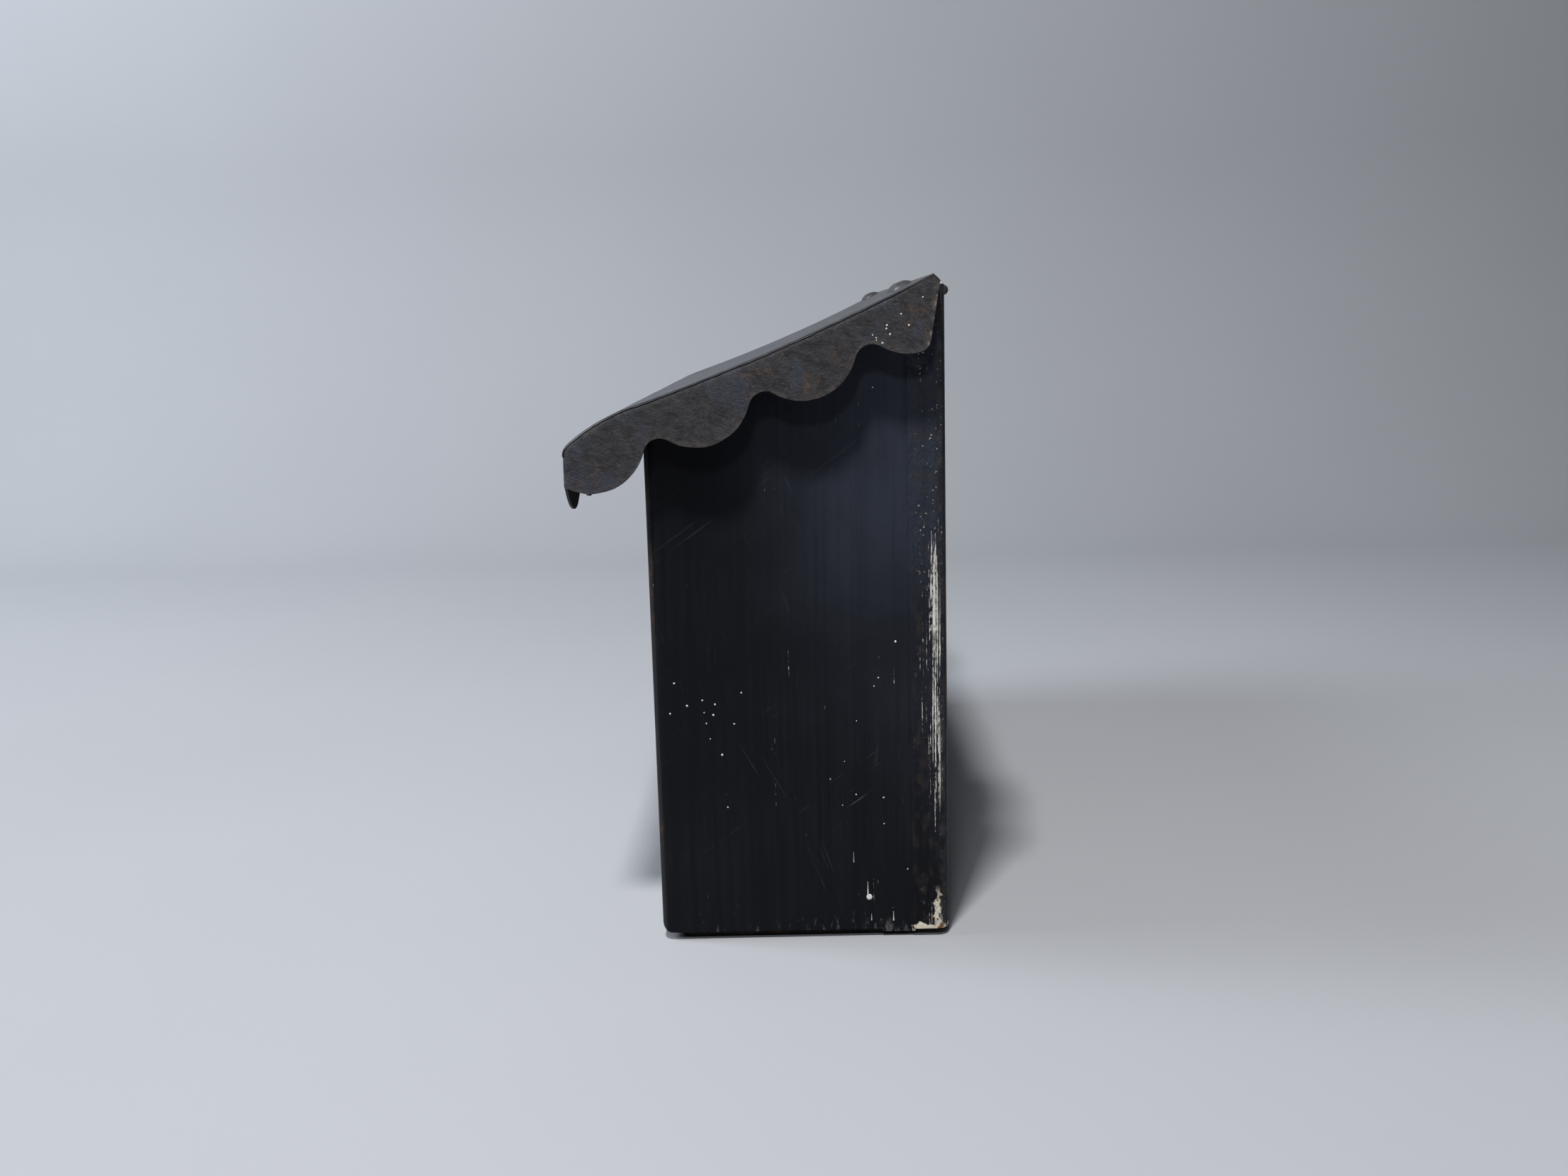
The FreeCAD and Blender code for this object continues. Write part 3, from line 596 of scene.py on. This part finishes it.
def lid_slope_point(along, below):
    """A (y, z) point given along the lid's slope from the ridge, and square below it."""
    ridge_y = LID_HIGH.y - LIP_DEPTH_MM
    return Vector((ridge_y - along * math.cos(SLOPE) + below * math.sin(SLOPE),
                   LID_HIGH.z - along * math.sin(SLOPE) - below * math.cos(SLOPE)))


def lid_outline():
    """The lid's outline seen from an end, front skirt to ridge: (point, outward) pairs."""
    ridge = lid_slope_point(0.0, 0.0)
    middle = lid_slope_point(SAG_SPAN_MM / 2.0, SAG_MM - SAG_END_RISE_MM / 2.0)
    sag_end = lid_slope_point(SAG_SPAN_MM, -SAG_END_RISE_MM)
    sag_centre = circle_centre(ridge, middle, sag_end)
    inward = (sag_end - sag_centre).normalized()
    start = math.atan2(inward.x, -inward.y)
    crown_centre = sag_end + inward * CROWN_RADIUS_MM
    reach = LID_LOW.y + FRONT_BEND_MM - sag_end.x - CROWN_RADIUS_MM * math.sin(start)
    end = math.asin(reach / (FRONT_BEND_MM - CROWN_RADIUS_MM))
    bend_centre = crown_centre + Vector((-math.sin(end), math.cos(end))) * (CROWN_RADIUS_MM - FRONT_BEND_MM)
    pairs = []
    for centre, radius, first, last in ((bend_centre, FRONT_BEND_MM, math.pi / 2.0, end),
                                        (crown_centre, CROWN_RADIUS_MM, end, start)):
        for k in range(OUTLINE_BEND_STEPS):
            angle = first + (last - first) * k / OUTLINE_BEND_STEPS
            outward = Vector((-math.sin(angle), math.cos(angle)))
            pairs.append((centre + outward * radius, outward))
    first = sag_end - sag_centre
    last = ridge - sag_centre
    sweep = math.atan2(first.x * last.y - first.y * last.x, first.dot(last))
    for k in range(OUTLINE_SAG_STEPS + 1):
        turned = Matrix.Rotation(sweep * k / OUTLINE_SAG_STEPS, 2) @ first
        pairs.append((sag_centre + turned, -turned.normalized()))
    return pairs


def side_lobe_edge():
    """The end skirt's scalloped edge, from front to rear, as (y, z) points."""
    below = LOBE_DEPTH_MM - LOBE_RADIUS_MM
    centres = [lid_slope_point(FIRST_LOBE_MM + SIDE_PITCH_MM * k, below)
               for k in reversed(range(SIDE_LOBES))]
    down = Vector((math.sin(SLOPE), -math.cos(SLOPE)))
    drop = math.sqrt((LOBE_RADIUS_MM + CUSP_RADIUS_MM) ** 2 - (SIDE_PITCH_MM / 2.0) ** 2)
    start_y = LID_LOW.y + EDGE_BEND_MM
    rear_way = (Vector((LID_HIGH.y, LID_HIGH.z - LIP_DROP_MM)) - REAR_FOOT_MM).normalized()
    line_at = REAR_FOOT_MM + Vector((-rear_way.y, rear_way.x)) * REAR_CORNER_MM
    offset = line_at - centres[-1]
    half_way = offset.dot(rear_way)
    reach = (LOBE_RADIUS_MM - REAR_CORNER_MM) ** 2 - offset.length_squared + half_way ** 2
    corner = line_at + rear_way * (-half_way - math.sqrt(reach))
    arcs = []
    start_drop = math.sqrt(LOBE_RADIUS_MM ** 2 - (start_y - centres[0].x) ** 2)
    arrive = Vector((start_y, centres[0].y - start_drop))
    for first, second in zip(centres, centres[1:]):
        cusp = (first + second) / 2.0 + down * drop
        leave = first + (cusp - first).normalized() * LOBE_RADIUS_MM
        arcs.append((first, arrive, leave))
        arrive = second + (cusp - second).normalized() * LOBE_RADIUS_MM
        arcs.append((cusp, leave, arrive))
    leave = centres[-1] + (corner - centres[-1]).normalized() * LOBE_RADIUS_MM
    end = corner + Vector((rear_way.y, -rear_way.x)) * REAR_CORNER_MM
    arcs += [(centres[-1], arrive, leave), (corner, leave, end)]
    points = []
    for centre, begin, finish in arcs:
        first = begin - centre
        last = finish - centre
        sweep = math.atan2(first.x * last.y - first.y * last.x, first.dot(last))
        steps = max(2, round(abs(sweep) * first.length / EDGE_STEP_MM))
        points += [centre + Matrix.Rotation(sweep * k / steps, 2) @ first for k in range(steps)]
    return points + [end]


def front_edge_z(x):
    """How high the front skirt's scalloped edge is at x."""
    across = (x - LID_LOW.x) % FRONT_PITCH_MM - FRONT_PITCH_MM / 2.0
    span = LOBE_RADIUS_MM + CUSP_RADIUS_MM
    level = LID_LOW.z + LOBE_RADIUS_MM
    cusp_z = level - math.sqrt(span ** 2 - (FRONT_PITCH_MM / 2.0) ** 2)
    if abs(across) <= FRONT_PITCH_MM / 2.0 * LOBE_RADIUS_MM / span:
        return level - math.sqrt(LOBE_RADIUS_MM ** 2 - across ** 2)
    return cusp_z + math.sqrt(CUSP_RADIUS_MM ** 2 - (FRONT_PITCH_MM / 2.0 - abs(across)) ** 2)


def lid_stations():
    """Columns of the end skirt, front to rear: (outline point, outward, bend radius, edge point)."""
    outline = lid_outline()
    inset = [point - outward * EDGE_BEND_MM for point, outward in outline]
    inset_y = [point.x for point in inset]
    edge = side_lobe_edge()
    at_front = [k * CORNER_STRIDE for k in range(CORNER_COLUMNS) if inset_y[k * CORNER_STRIDE] < edge[1].x]
    stations = [(*outline[k], EDGE_BEND_MM, edge[0].lerp(edge[1], share / len(at_front)))
                for share, k in enumerate(at_front)]
    ridge_y = LID_HIGH.y - LIP_DEPTH_MM
    lean_span = ridge_y - LAST_COLUMN_MM - COLUMNS_LEAN_FROM_MM
    for low in edge[1:-3]:
        top_y = low.x
        if top_y > COLUMNS_LEAN_FROM_MM:
            share = (low.x - COLUMNS_LEAN_FROM_MM) / (edge[-4].x - COLUMNS_LEAN_FROM_MM)
            top_y = COLUMNS_LEAN_FROM_MM + lean_span * share
        bend = EDGE_BEND_MM - REAR_BEND_LESS_MM * ease(REAR_BEND_FROM_MM, ridge_y, top_y)
        k = min(len(outline) - 1, bisect.bisect_left(inset_y, top_y))
        stations.append((*outline[k], bend, low))
    ridge, ridge_out = outline[-1]
    lip = Vector((LID_HIGH.y, LID_HIGH.z - LIP_DROP_MM))
    lip_out = Vector((LIP_DROP_MM, LIP_DEPTH_MM)).normalized()
    crest = (ridge_out + lip_out).normalized()
    stations.append((ridge - crest * CREST_DROP_MM, crest, CREST_BEND_MM, edge[-3]))
    stations.append((ridge.lerp(lip, 0.5), lip_out, LIP_MIDDLE_BEND_MM, edge[-2]))
    stations.append((lip, lip_out, LIP_BEND_MM, edge[-1]))
    return stations


def grid_faces(rows):
    """Quads between rows of vertex numbers."""
    faces = []
    for low, high in zip(rows, rows[1:]):
        for k in range(len(low) - 1):
            faces.append((low[k], low[k + 1], high[k + 1], high[k]))
    return faces


class LidPoints:
    """The lid's points, how near each is to a cut edge (rims) and how much it is on a skirt (skirts)."""

    def __init__(self):
        self.points, self.rims, self.skirts = [], [], []

    def add(self, x, y, z, rim, skirt):
        """Adds a point and gives back its number."""
        self.points.append(Vector((x, y, z)))
        self.rims.append(rim)
        self.skirts.append(skirt)
        return len(self.points) - 1


def edge_rim(from_edge):
    """How worn a skirt is at a distance from its scalloped edge."""
    return ease(2.2, 0.3, from_edge)


def uneven_cut(place, seed):
    """How far the hand-cut scallops stop short here."""
    return CUT_DEPTH_MM * wavy(Vector(place), CUT_LENGTH_MM, seed)


def lid_top(net, stations, shares):
    """Rows of points across the top, front to rear."""
    rows = []
    for point, outward, bend, _ in stations:
        rim = ease(LIP_WEAR_MM, 0.0, LID_HIGH.y - point.x)
        skirt = ease(0.65, 1.0, -outward.x)
        rows.append([net.add(share * (LID_HIGH.x - bend), point.x, point.y, rim, skirt) for share in shares])
    return rows


def front_skirt(net, top_row, shares):
    """Rows of points down the front skirt, from the top's first row."""
    inner = LID_HIGH.x - EDGE_BEND_MM
    start_z = net.points[top_row[0]].z
    lows = [front_edge_z(share * inner) + uneven_cut((share * LID_HIGH.x, 0, 0), 2.0) for share in shares]
    rows = [top_row]
    for row in range(1, SKIRT_ROWS + 1):
        line = []
        for share, low in zip(shares, lows):
            z = start_z + (low - start_z) * row / SKIRT_ROWS
            line.append(net.add(share * inner, LID_LOW.y, z, edge_rim(z - low), 1.0))
        rows.append(line)
    return rows


def end_skirt(net, stations, side):
    """Columns of points down an end skirt, front to rear."""
    columns = []
    for point, outward, bend, low in stations:
        head = point - outward * bend
        foot = low + Vector((0.0, uneven_cut((side * 40.0, low.x, low.y), 4.0)))
        column = []
        for row in range(SKIRT_ROWS + 1):
            at = head.lerp(foot, row / SKIRT_ROWS)
            from_rear = REAR_FOOT_MM.x + REAR_LEAN * (at.y - REAR_FOOT_MM.y) - at.x
            rim = max(edge_rim((at - foot).length), ease(3.0, 0.8, from_rear))
            column.append(net.add(side * LID_HIGH.x, at.x, at.y, rim, 1.0))
        columns.append(column)
    return columns


def top_bend(net, stations, top, columns, side):
    """Rows of points over the soft bend between the top and an end skirt."""
    rows = []
    for (point, outward, bend, _), top_row, column in zip(stations, top, columns):
        line = [top_row[0] if side < 0 else top_row[-1]]
        for step in range(1, BEND_STEPS):
            angle = math.pi / 2.0 * step / BEND_STEPS
            at = point - outward * bend * (1.0 - math.cos(angle))
            x = side * (LID_HIGH.x - bend + bend * math.sin(angle))
            line.append(net.add(x, at.x, at.y, 0.0, ease(0.1, 0.9, step / BEND_STEPS)))
        rows.append(line + [column[0]])
    return rows


def front_corner_bend(net, front, column, side):
    """Rows of points round the soft upright bend between the front skirt and an end skirt."""
    rows = []
    for front_row, inside in zip(front[1:], column[1:]):
        outer = front_row[0] if side < 0 else front_row[-1]
        outer_z = net.points[outer].z
        line = [outer]
        for step in range(1, BEND_STEPS):
            share = step / BEND_STEPS
            angle = math.pi / 2.0 * share
            x = side * (LID_HIGH.x - EDGE_BEND_MM + EDGE_BEND_MM * math.sin(angle))
            y = LID_LOW.y + EDGE_BEND_MM * (1.0 - math.cos(angle))
            z = outer_z + (net.points[inside].z - outer_z) * share
            line.append(net.add(x, y, z, net.rims[outer], 1.0))
        rows.append(line + [inside])
    return rows


def build_lid():
    """The lid's sheet: hollowed top, soft bends and hand-cut scalloped skirts."""
    stations = lid_stations()
    columns_across = round(2.0 * (LID_HIGH.x - EDGE_BEND_MM) / COLUMN_STEP_MM)
    shares = [-1.0 + 2.0 * k / columns_across for k in range(columns_across + 1)]
    net = LidPoints()
    top = lid_top(net, stations, shares)
    front = front_skirt(net, top[0], shares)
    faces = grid_faces(top) + grid_faces(front)
    for side in (-1, 1):
        columns = end_skirt(net, stations, side)
        bend_rows = top_bend(net, stations, top, columns, side)
        corner_rows = [bend_rows[0]] + front_corner_bend(net, front, columns[0], side)
        faces += grid_faces(bend_rows) + grid_faces(corner_rows) + grid_faces(columns)
    piece = new_piece("lid_shell", net.points, faces, "lid", [LID_PAINT, UNDER_PAINT])
    return piece, net.rims, net.skirts


def lid_rivet_places():
    """The middles of the lid's rivets, seen from above, in metres."""
    places = []
    for side_name in ("left", "right"):
        low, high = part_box("lid_rivets_" + side_name)
        y = (low.y + high.y) / 2.0
        places += [Vector((low.x + RIVET_INSET, y, 0)), Vector((high.x - RIVET_INSET, y, 0))]
    return places


def hammer_lid(piece, rims, skirts):
    """Dents and ripples that press the lid's sheet inwards, least on the top and round the rivets."""
    data = piece.data
    data.update()
    if sum(vertex.normal.z for vertex in data.vertices) < 0.0:
        data.flip_normals()
        data.update()
    rivets = lid_rivet_places()
    normals = [vertex.normal.copy() for vertex in data.vertices]
    for vertex, normal, skirt in zip(data.vertices, normals, skirts):
        at = vertex.co / MM
        broad = wavy(at, BROAD_DENT_MM, 1.0)
        hammered = wavy(at, HAMMER_DENT_MM, 5.0)
        ripple = wavy(at, RIPPLE_MM, 9.0)
        on_top = TOP_BROAD_DEPTH_MM * broad + TOP_HAMMER_DEPTH_MM * hammered
        on_skirt = (SKIRT_BROAD_DEPTH_MM * broad + SKIRT_HAMMER_DEPTH_MM * hammered
                    + SKIRT_RIPPLE_DEPTH_MM * ripple)
        depth = on_top + (on_skirt - on_top) * skirt
        flat = Vector((vertex.co.x, vertex.co.y, 0))
        clear = min((flat - rivet).length for rivet in rivets)
        depth *= ease(RIVET_FLAT, RIVET_FADE, clear) if skirt < 0.5 else 1.0
        vertex.co = vertex.co - normal * depth * MM
    for name, values in (("rim", rims), ("skirt", skirts)):
        layer = data.attributes.new(name, "FLOAT", "POINT")
        for item, value in zip(layer.data, values):
            item.value = value


def thicken(piece, thickness_mm, bevel_mm):
    """Gives a sheet its thickness, inwards, and softens its cut edges."""
    solid = piece.modifiers.new("sheet", "SOLIDIFY")
    solid.thickness = thickness_mm * MM
    solid.offset = -1.0
    solid.use_even_offset = True
    solid.material_offset = 1
    soft = piece.modifiers.new("edges", "BEVEL")
    soft.width = bevel_mm * MM
    soft.segments = 2
    soft.limit_method = "ANGLE"
    soft.angle_limit = math.radians(50.0)


lid, lid_rims, lid_skirts = build_lid()
hammer_lid(lid, lid_rims, lid_skirts)
thicken(lid, SHEET_MM, EDGE_BEVEL_MM)
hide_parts("lid_sheet")


# ---------------------------------------------------------------- splashes of paint

DROP_RINGS = ((0.45, 0.86), (0.78, 0.55), (1.0, 0.0))     # (share of the radius, of the height)
DROP_TURNS = 14
DROP_SCALE = 0.7               # of the larger drops against the radii noted from the photo
RUN_FROM = 0.3                 # how high up a drop, as a sine, a run starts
RUN_NARROWS = 0.55
DROP_SINK_MM = 0.02


def splash(points, faces, centre, radius, height, side, long, seed):
    """Adds one flattened drop on an end's outer face; long stretches it upwards into a run."""
    first = len(points)
    x, y, z = centre
    points.append(Vector((x + side * height, y, z)))
    for share, rise in DROP_RINGS:
        for k in range(DROP_TURNS):
            angle = 2.0 * math.pi * k / DROP_TURNS
            wobble = 1.0 + 0.22 * noise.noise(Vector((math.cos(angle), math.sin(angle), seed)) * 1.3)
            reach = radius * share * wobble
            up = math.sin(angle) * reach
            if math.sin(angle) > RUN_FROM:
                up += long * share * (math.sin(angle) - RUN_FROM)
            narrow = 1.0 if long == 0.0 else 1.0 - RUN_NARROWS * max(0.0, math.sin(angle))
            out = side * (height * rise - DROP_SINK_MM)
            points.append(Vector((x + out, y + math.cos(angle) * reach * narrow, z + up)))
    for k in range(DROP_TURNS):
        after = (k + 1) % DROP_TURNS
        faces.append((first, first + 1 + k, first + 1 + after))
        for ring in range(len(DROP_RINGS) - 1):
            low = first + 1 + ring * DROP_TURNS
            high = low + DROP_TURNS
            faces.append((low + k, high + k, high + after, low + after))
    last = first + 1 + DROP_TURNS * (len(DROP_RINGS) - 1)
    faces.append(tuple(range(last, last + DROP_TURNS)))


BOX_LOW, BOX_HIGH = [corner / MM for corner in map(Vector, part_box("body_wrap"))]

# (behind the front face, above the lower edge, radius) of the larger drops on the right-hand end
END_DROPS_MM = (
    (24.3, 67.8, 0.62), (12.2, 86.4, 0.58), (21.6, 82.8, 0.58), (7.9, 94.8, 0.55), (87.5, 108.3, 0.60),
    (6.0, 83.6, 0.50), (22.3, 86.7, 0.50), (29.0, 79.3, 0.50), (31.9, 90.8, 0.46), (17.8, 88.3, 0.46),
    (19.0, 79.7, 0.44), (82.5, 50.4, 0.46), (25.7, 48.0, 0.46), (81.2, 95.2, 0.42), (72.5, 51.8, 0.40),
    (79.6, 92.1, 0.36), (18.3, 83.7, 0.36), (63.2, 57.8, 0.36), (82.5, 40.5, 0.36), (20.2, 73.9, 0.32),
    (90.9, 22.9, 0.40), (73.1, 79.4, 0.28), (67.5, 47.8, 0.28), (68.5, 64.3, 0.26), (80.7, 198.5, 0.36),
)
# (behind the front face, above the lower edge, radius, length) of the runs
END_RUNS_MM = ((76.7, 12.4, 1.15, 0.0), (76.2, 13.4, 0.30, 7.5), (71.2, 26.0, 0.16, 6.0),
               (77.4, 3.4, 0.2, 3.8), (85.5, 3.2, 0.28, 5.0))
# (in front of the lid's rear edge, below the ridge, radius) on the lid's right-hand end
LID_DROPS_MM = ((13.5, 13.4, 0.5), (10.9, 17.1, 0.6), (18.3, 17.0, 0.5), (18.5, 18.1, 0.5), (17.3, 20.0, 0.5),
                (23.2, 20.1, 0.5), (22.0, 21.1, 0.5), (21.9, 21.9, 0.4), (19.9, 22.8, 0.55), (6.1, 8.0, 0.4))
LID_DROPS_DEEP_MM = 0.45       # inside the lid's widest place, as its skirt is dented
LEFT_DROPS = 26                # made up, on the left-hand end

# How far the splashes stand out
END_DROP_HEIGHT_MM = 0.16
END_RUN_HEIGHT_MM = 0.14
LEFT_DROP_HEIGHT_MM = 0.15
LID_DROP_HEIGHT_MM = 0.30


def build_splashes():
    """White drops and runs on the box and the lid."""
    points, faces = [], []
    for k, (behind, above, radius) in enumerate(END_DROPS_MM):
        centre = (BOX_HIGH.x, BOX_LOW.y + behind, above)
        splash(points, faces, centre, DROP_SCALE * radius, END_DROP_HEIGHT_MM, 1, 0.0, k)
    for k, (behind, above, radius, long) in enumerate(END_RUNS_MM):
        centre = (BOX_HIGH.x, BOX_LOW.y + behind, above)
        splash(points, faces, centre, radius, END_RUN_HEIGHT_MM, 1, long, 40 + k)
    draw = random.Random(7)
    for k in range(LEFT_DROPS):
        y = BOX_LOW.y + 6.0 + 84.0 * draw.random()
        z = 8.0 + 120.0 * draw.random() ** 1.3
        radius = 0.25 + 0.35 * draw.random()
        splash(points, faces, (BOX_LOW.x, y, z), radius, LEFT_DROP_HEIGHT_MM, -1, 0.0, 60 + k)
    new_piece("paint_splashes_box", points, faces, "box", [SPLASH_PAINT])
    points, faces = [], []
    for k, (ahead, below, radius) in enumerate(LID_DROPS_MM):
        centre = (LID_HIGH.x - LID_DROPS_DEEP_MM, LID_HIGH.y - ahead, LID_HIGH.z - below)
        splash(points, faces, centre, DROP_SCALE * radius, LID_DROP_HEIGHT_MM, 1, 0.0, 90 + k)
    new_piece("paint_splashes_lid", points, faces, "lid", [SPLASH_PAINT])


build_splashes()


# ---------------------------------------------------------------- stage, lights and camera

def build_stage():
    """A floor that curves up into a backdrop behind the object."""
    floor_z = CAD_LOW.z
    profile = [(STAGE_REACH, floor_z), (STAGE_BEND_X, floor_z)]
    for k in range(1, STAGE_BEND_STEPS + 1):
        angle = math.pi / 2.0 * k / STAGE_BEND_STEPS
        profile.append((STAGE_BEND_X - STAGE_BEND * math.sin(angle),
                        floor_z + STAGE_BEND * (1.0 - math.cos(angle))))
    profile.append((STAGE_BEND_X - STAGE_BEND, STAGE_TOP))
    points = [(x, y, z) for y in (-STAGE_REACH, STAGE_REACH) for x, z in profile]
    count = len(profile)
    faces = [(k, k + 1, count + k + 1, count + k) for k in range(count - 1)]
    data = bpy.data.meshes.new("stage_sweep")
    data.from_pydata(points, [], faces)
    for polygon in data.polygons:
        polygon.use_smooth = True
    data.materials.append(stage_paint("pale_stage"))
    sweep = bpy.data.objects.new("stage_sweep", data)
    bpy.context.scene.collection.objects.link(sweep)


def add_light(name, lamp_values, target):
    """A square area light that shines at a target."""
    direction, distance, size, watts, colour = lamp_values
    data = bpy.data.lights.new(name, "AREA")
    data.shape = "SQUARE"
    data.size = size
    data.energy = watts
    data.color = colour
    lamp = bpy.data.objects.new(name, data)
    way = Vector(direction).normalized()
    lamp.location = target + way * distance
    lamp.rotation_mode = "QUATERNION"
    lamp.rotation_quaternion = way.to_track_quat("Z", "Y")
    bpy.context.scene.collection.objects.link(lamp)


def build_lights():
    """Two lamps high on the right-hand end's side, a wide overhead fill and a wash on the backdrop."""
    middle = (CAD_LOW + CAD_HIGH) / 2.0
    end_top = Vector((CAD_HIGH.x, middle.y, 0.8 * CAD_HIGH.z))
    add_light("key", KEY_LAMP, end_top)
    add_light("second", SECOND_LAMP, end_top)
    add_light("overhead", OVERHEAD_LAMP, middle)
    add_light("backdrop_wash", BACKDROP_LAMP, BACKDROP_MIDDLE)
    world = bpy.data.worlds.new("studio")
    world.use_nodes = True
    background = world.node_tree.nodes["Background"]
    background.inputs["Color"].default_value = WORLD_COLOUR
    background.inputs["Strength"].default_value = WORLD_STRENGTH
    bpy.context.scene.world = world


def build_camera():
    """The camera, placed and turned as the photo's own perspective says."""
    forward = Vector((-math.cos(CAMERA_YAW) * math.cos(CAMERA_PITCH),
                      math.sin(CAMERA_YAW) * math.cos(CAMERA_PITCH), -math.sin(CAMERA_PITCH)))
    level = forward.cross(Vector((0, 0, 1))).normalized()
    upright = level.cross(forward)
    right = math.cos(CAMERA_ROLL) * level + math.sin(CAMERA_ROLL) * upright
    up = -math.sin(CAMERA_ROLL) * level + math.cos(CAMERA_ROLL) * upright
    data = bpy.data.cameras.new("camera")
    data.lens = LENS_MM
    data.sensor_fit = "HORIZONTAL"
    data.sensor_width = SENSOR_MM
    data.clip_start = CAMERA_NEAR
    data.clip_end = CAMERA_FAR
    camera = bpy.data.objects.new("camera", data)
    turn = Matrix((right, up, -forward)).transposed()
    camera.matrix_world = Matrix.Translation(CAMERA_AT) @ turn.to_4x4()
    bpy.context.scene.collection.objects.link(camera)
    bpy.context.scene.camera = camera


build_stage()
build_lights()
build_camera()
bpy.context.scene.view_settings.view_transform = "Standard"

bpy.context.view_layer.update()
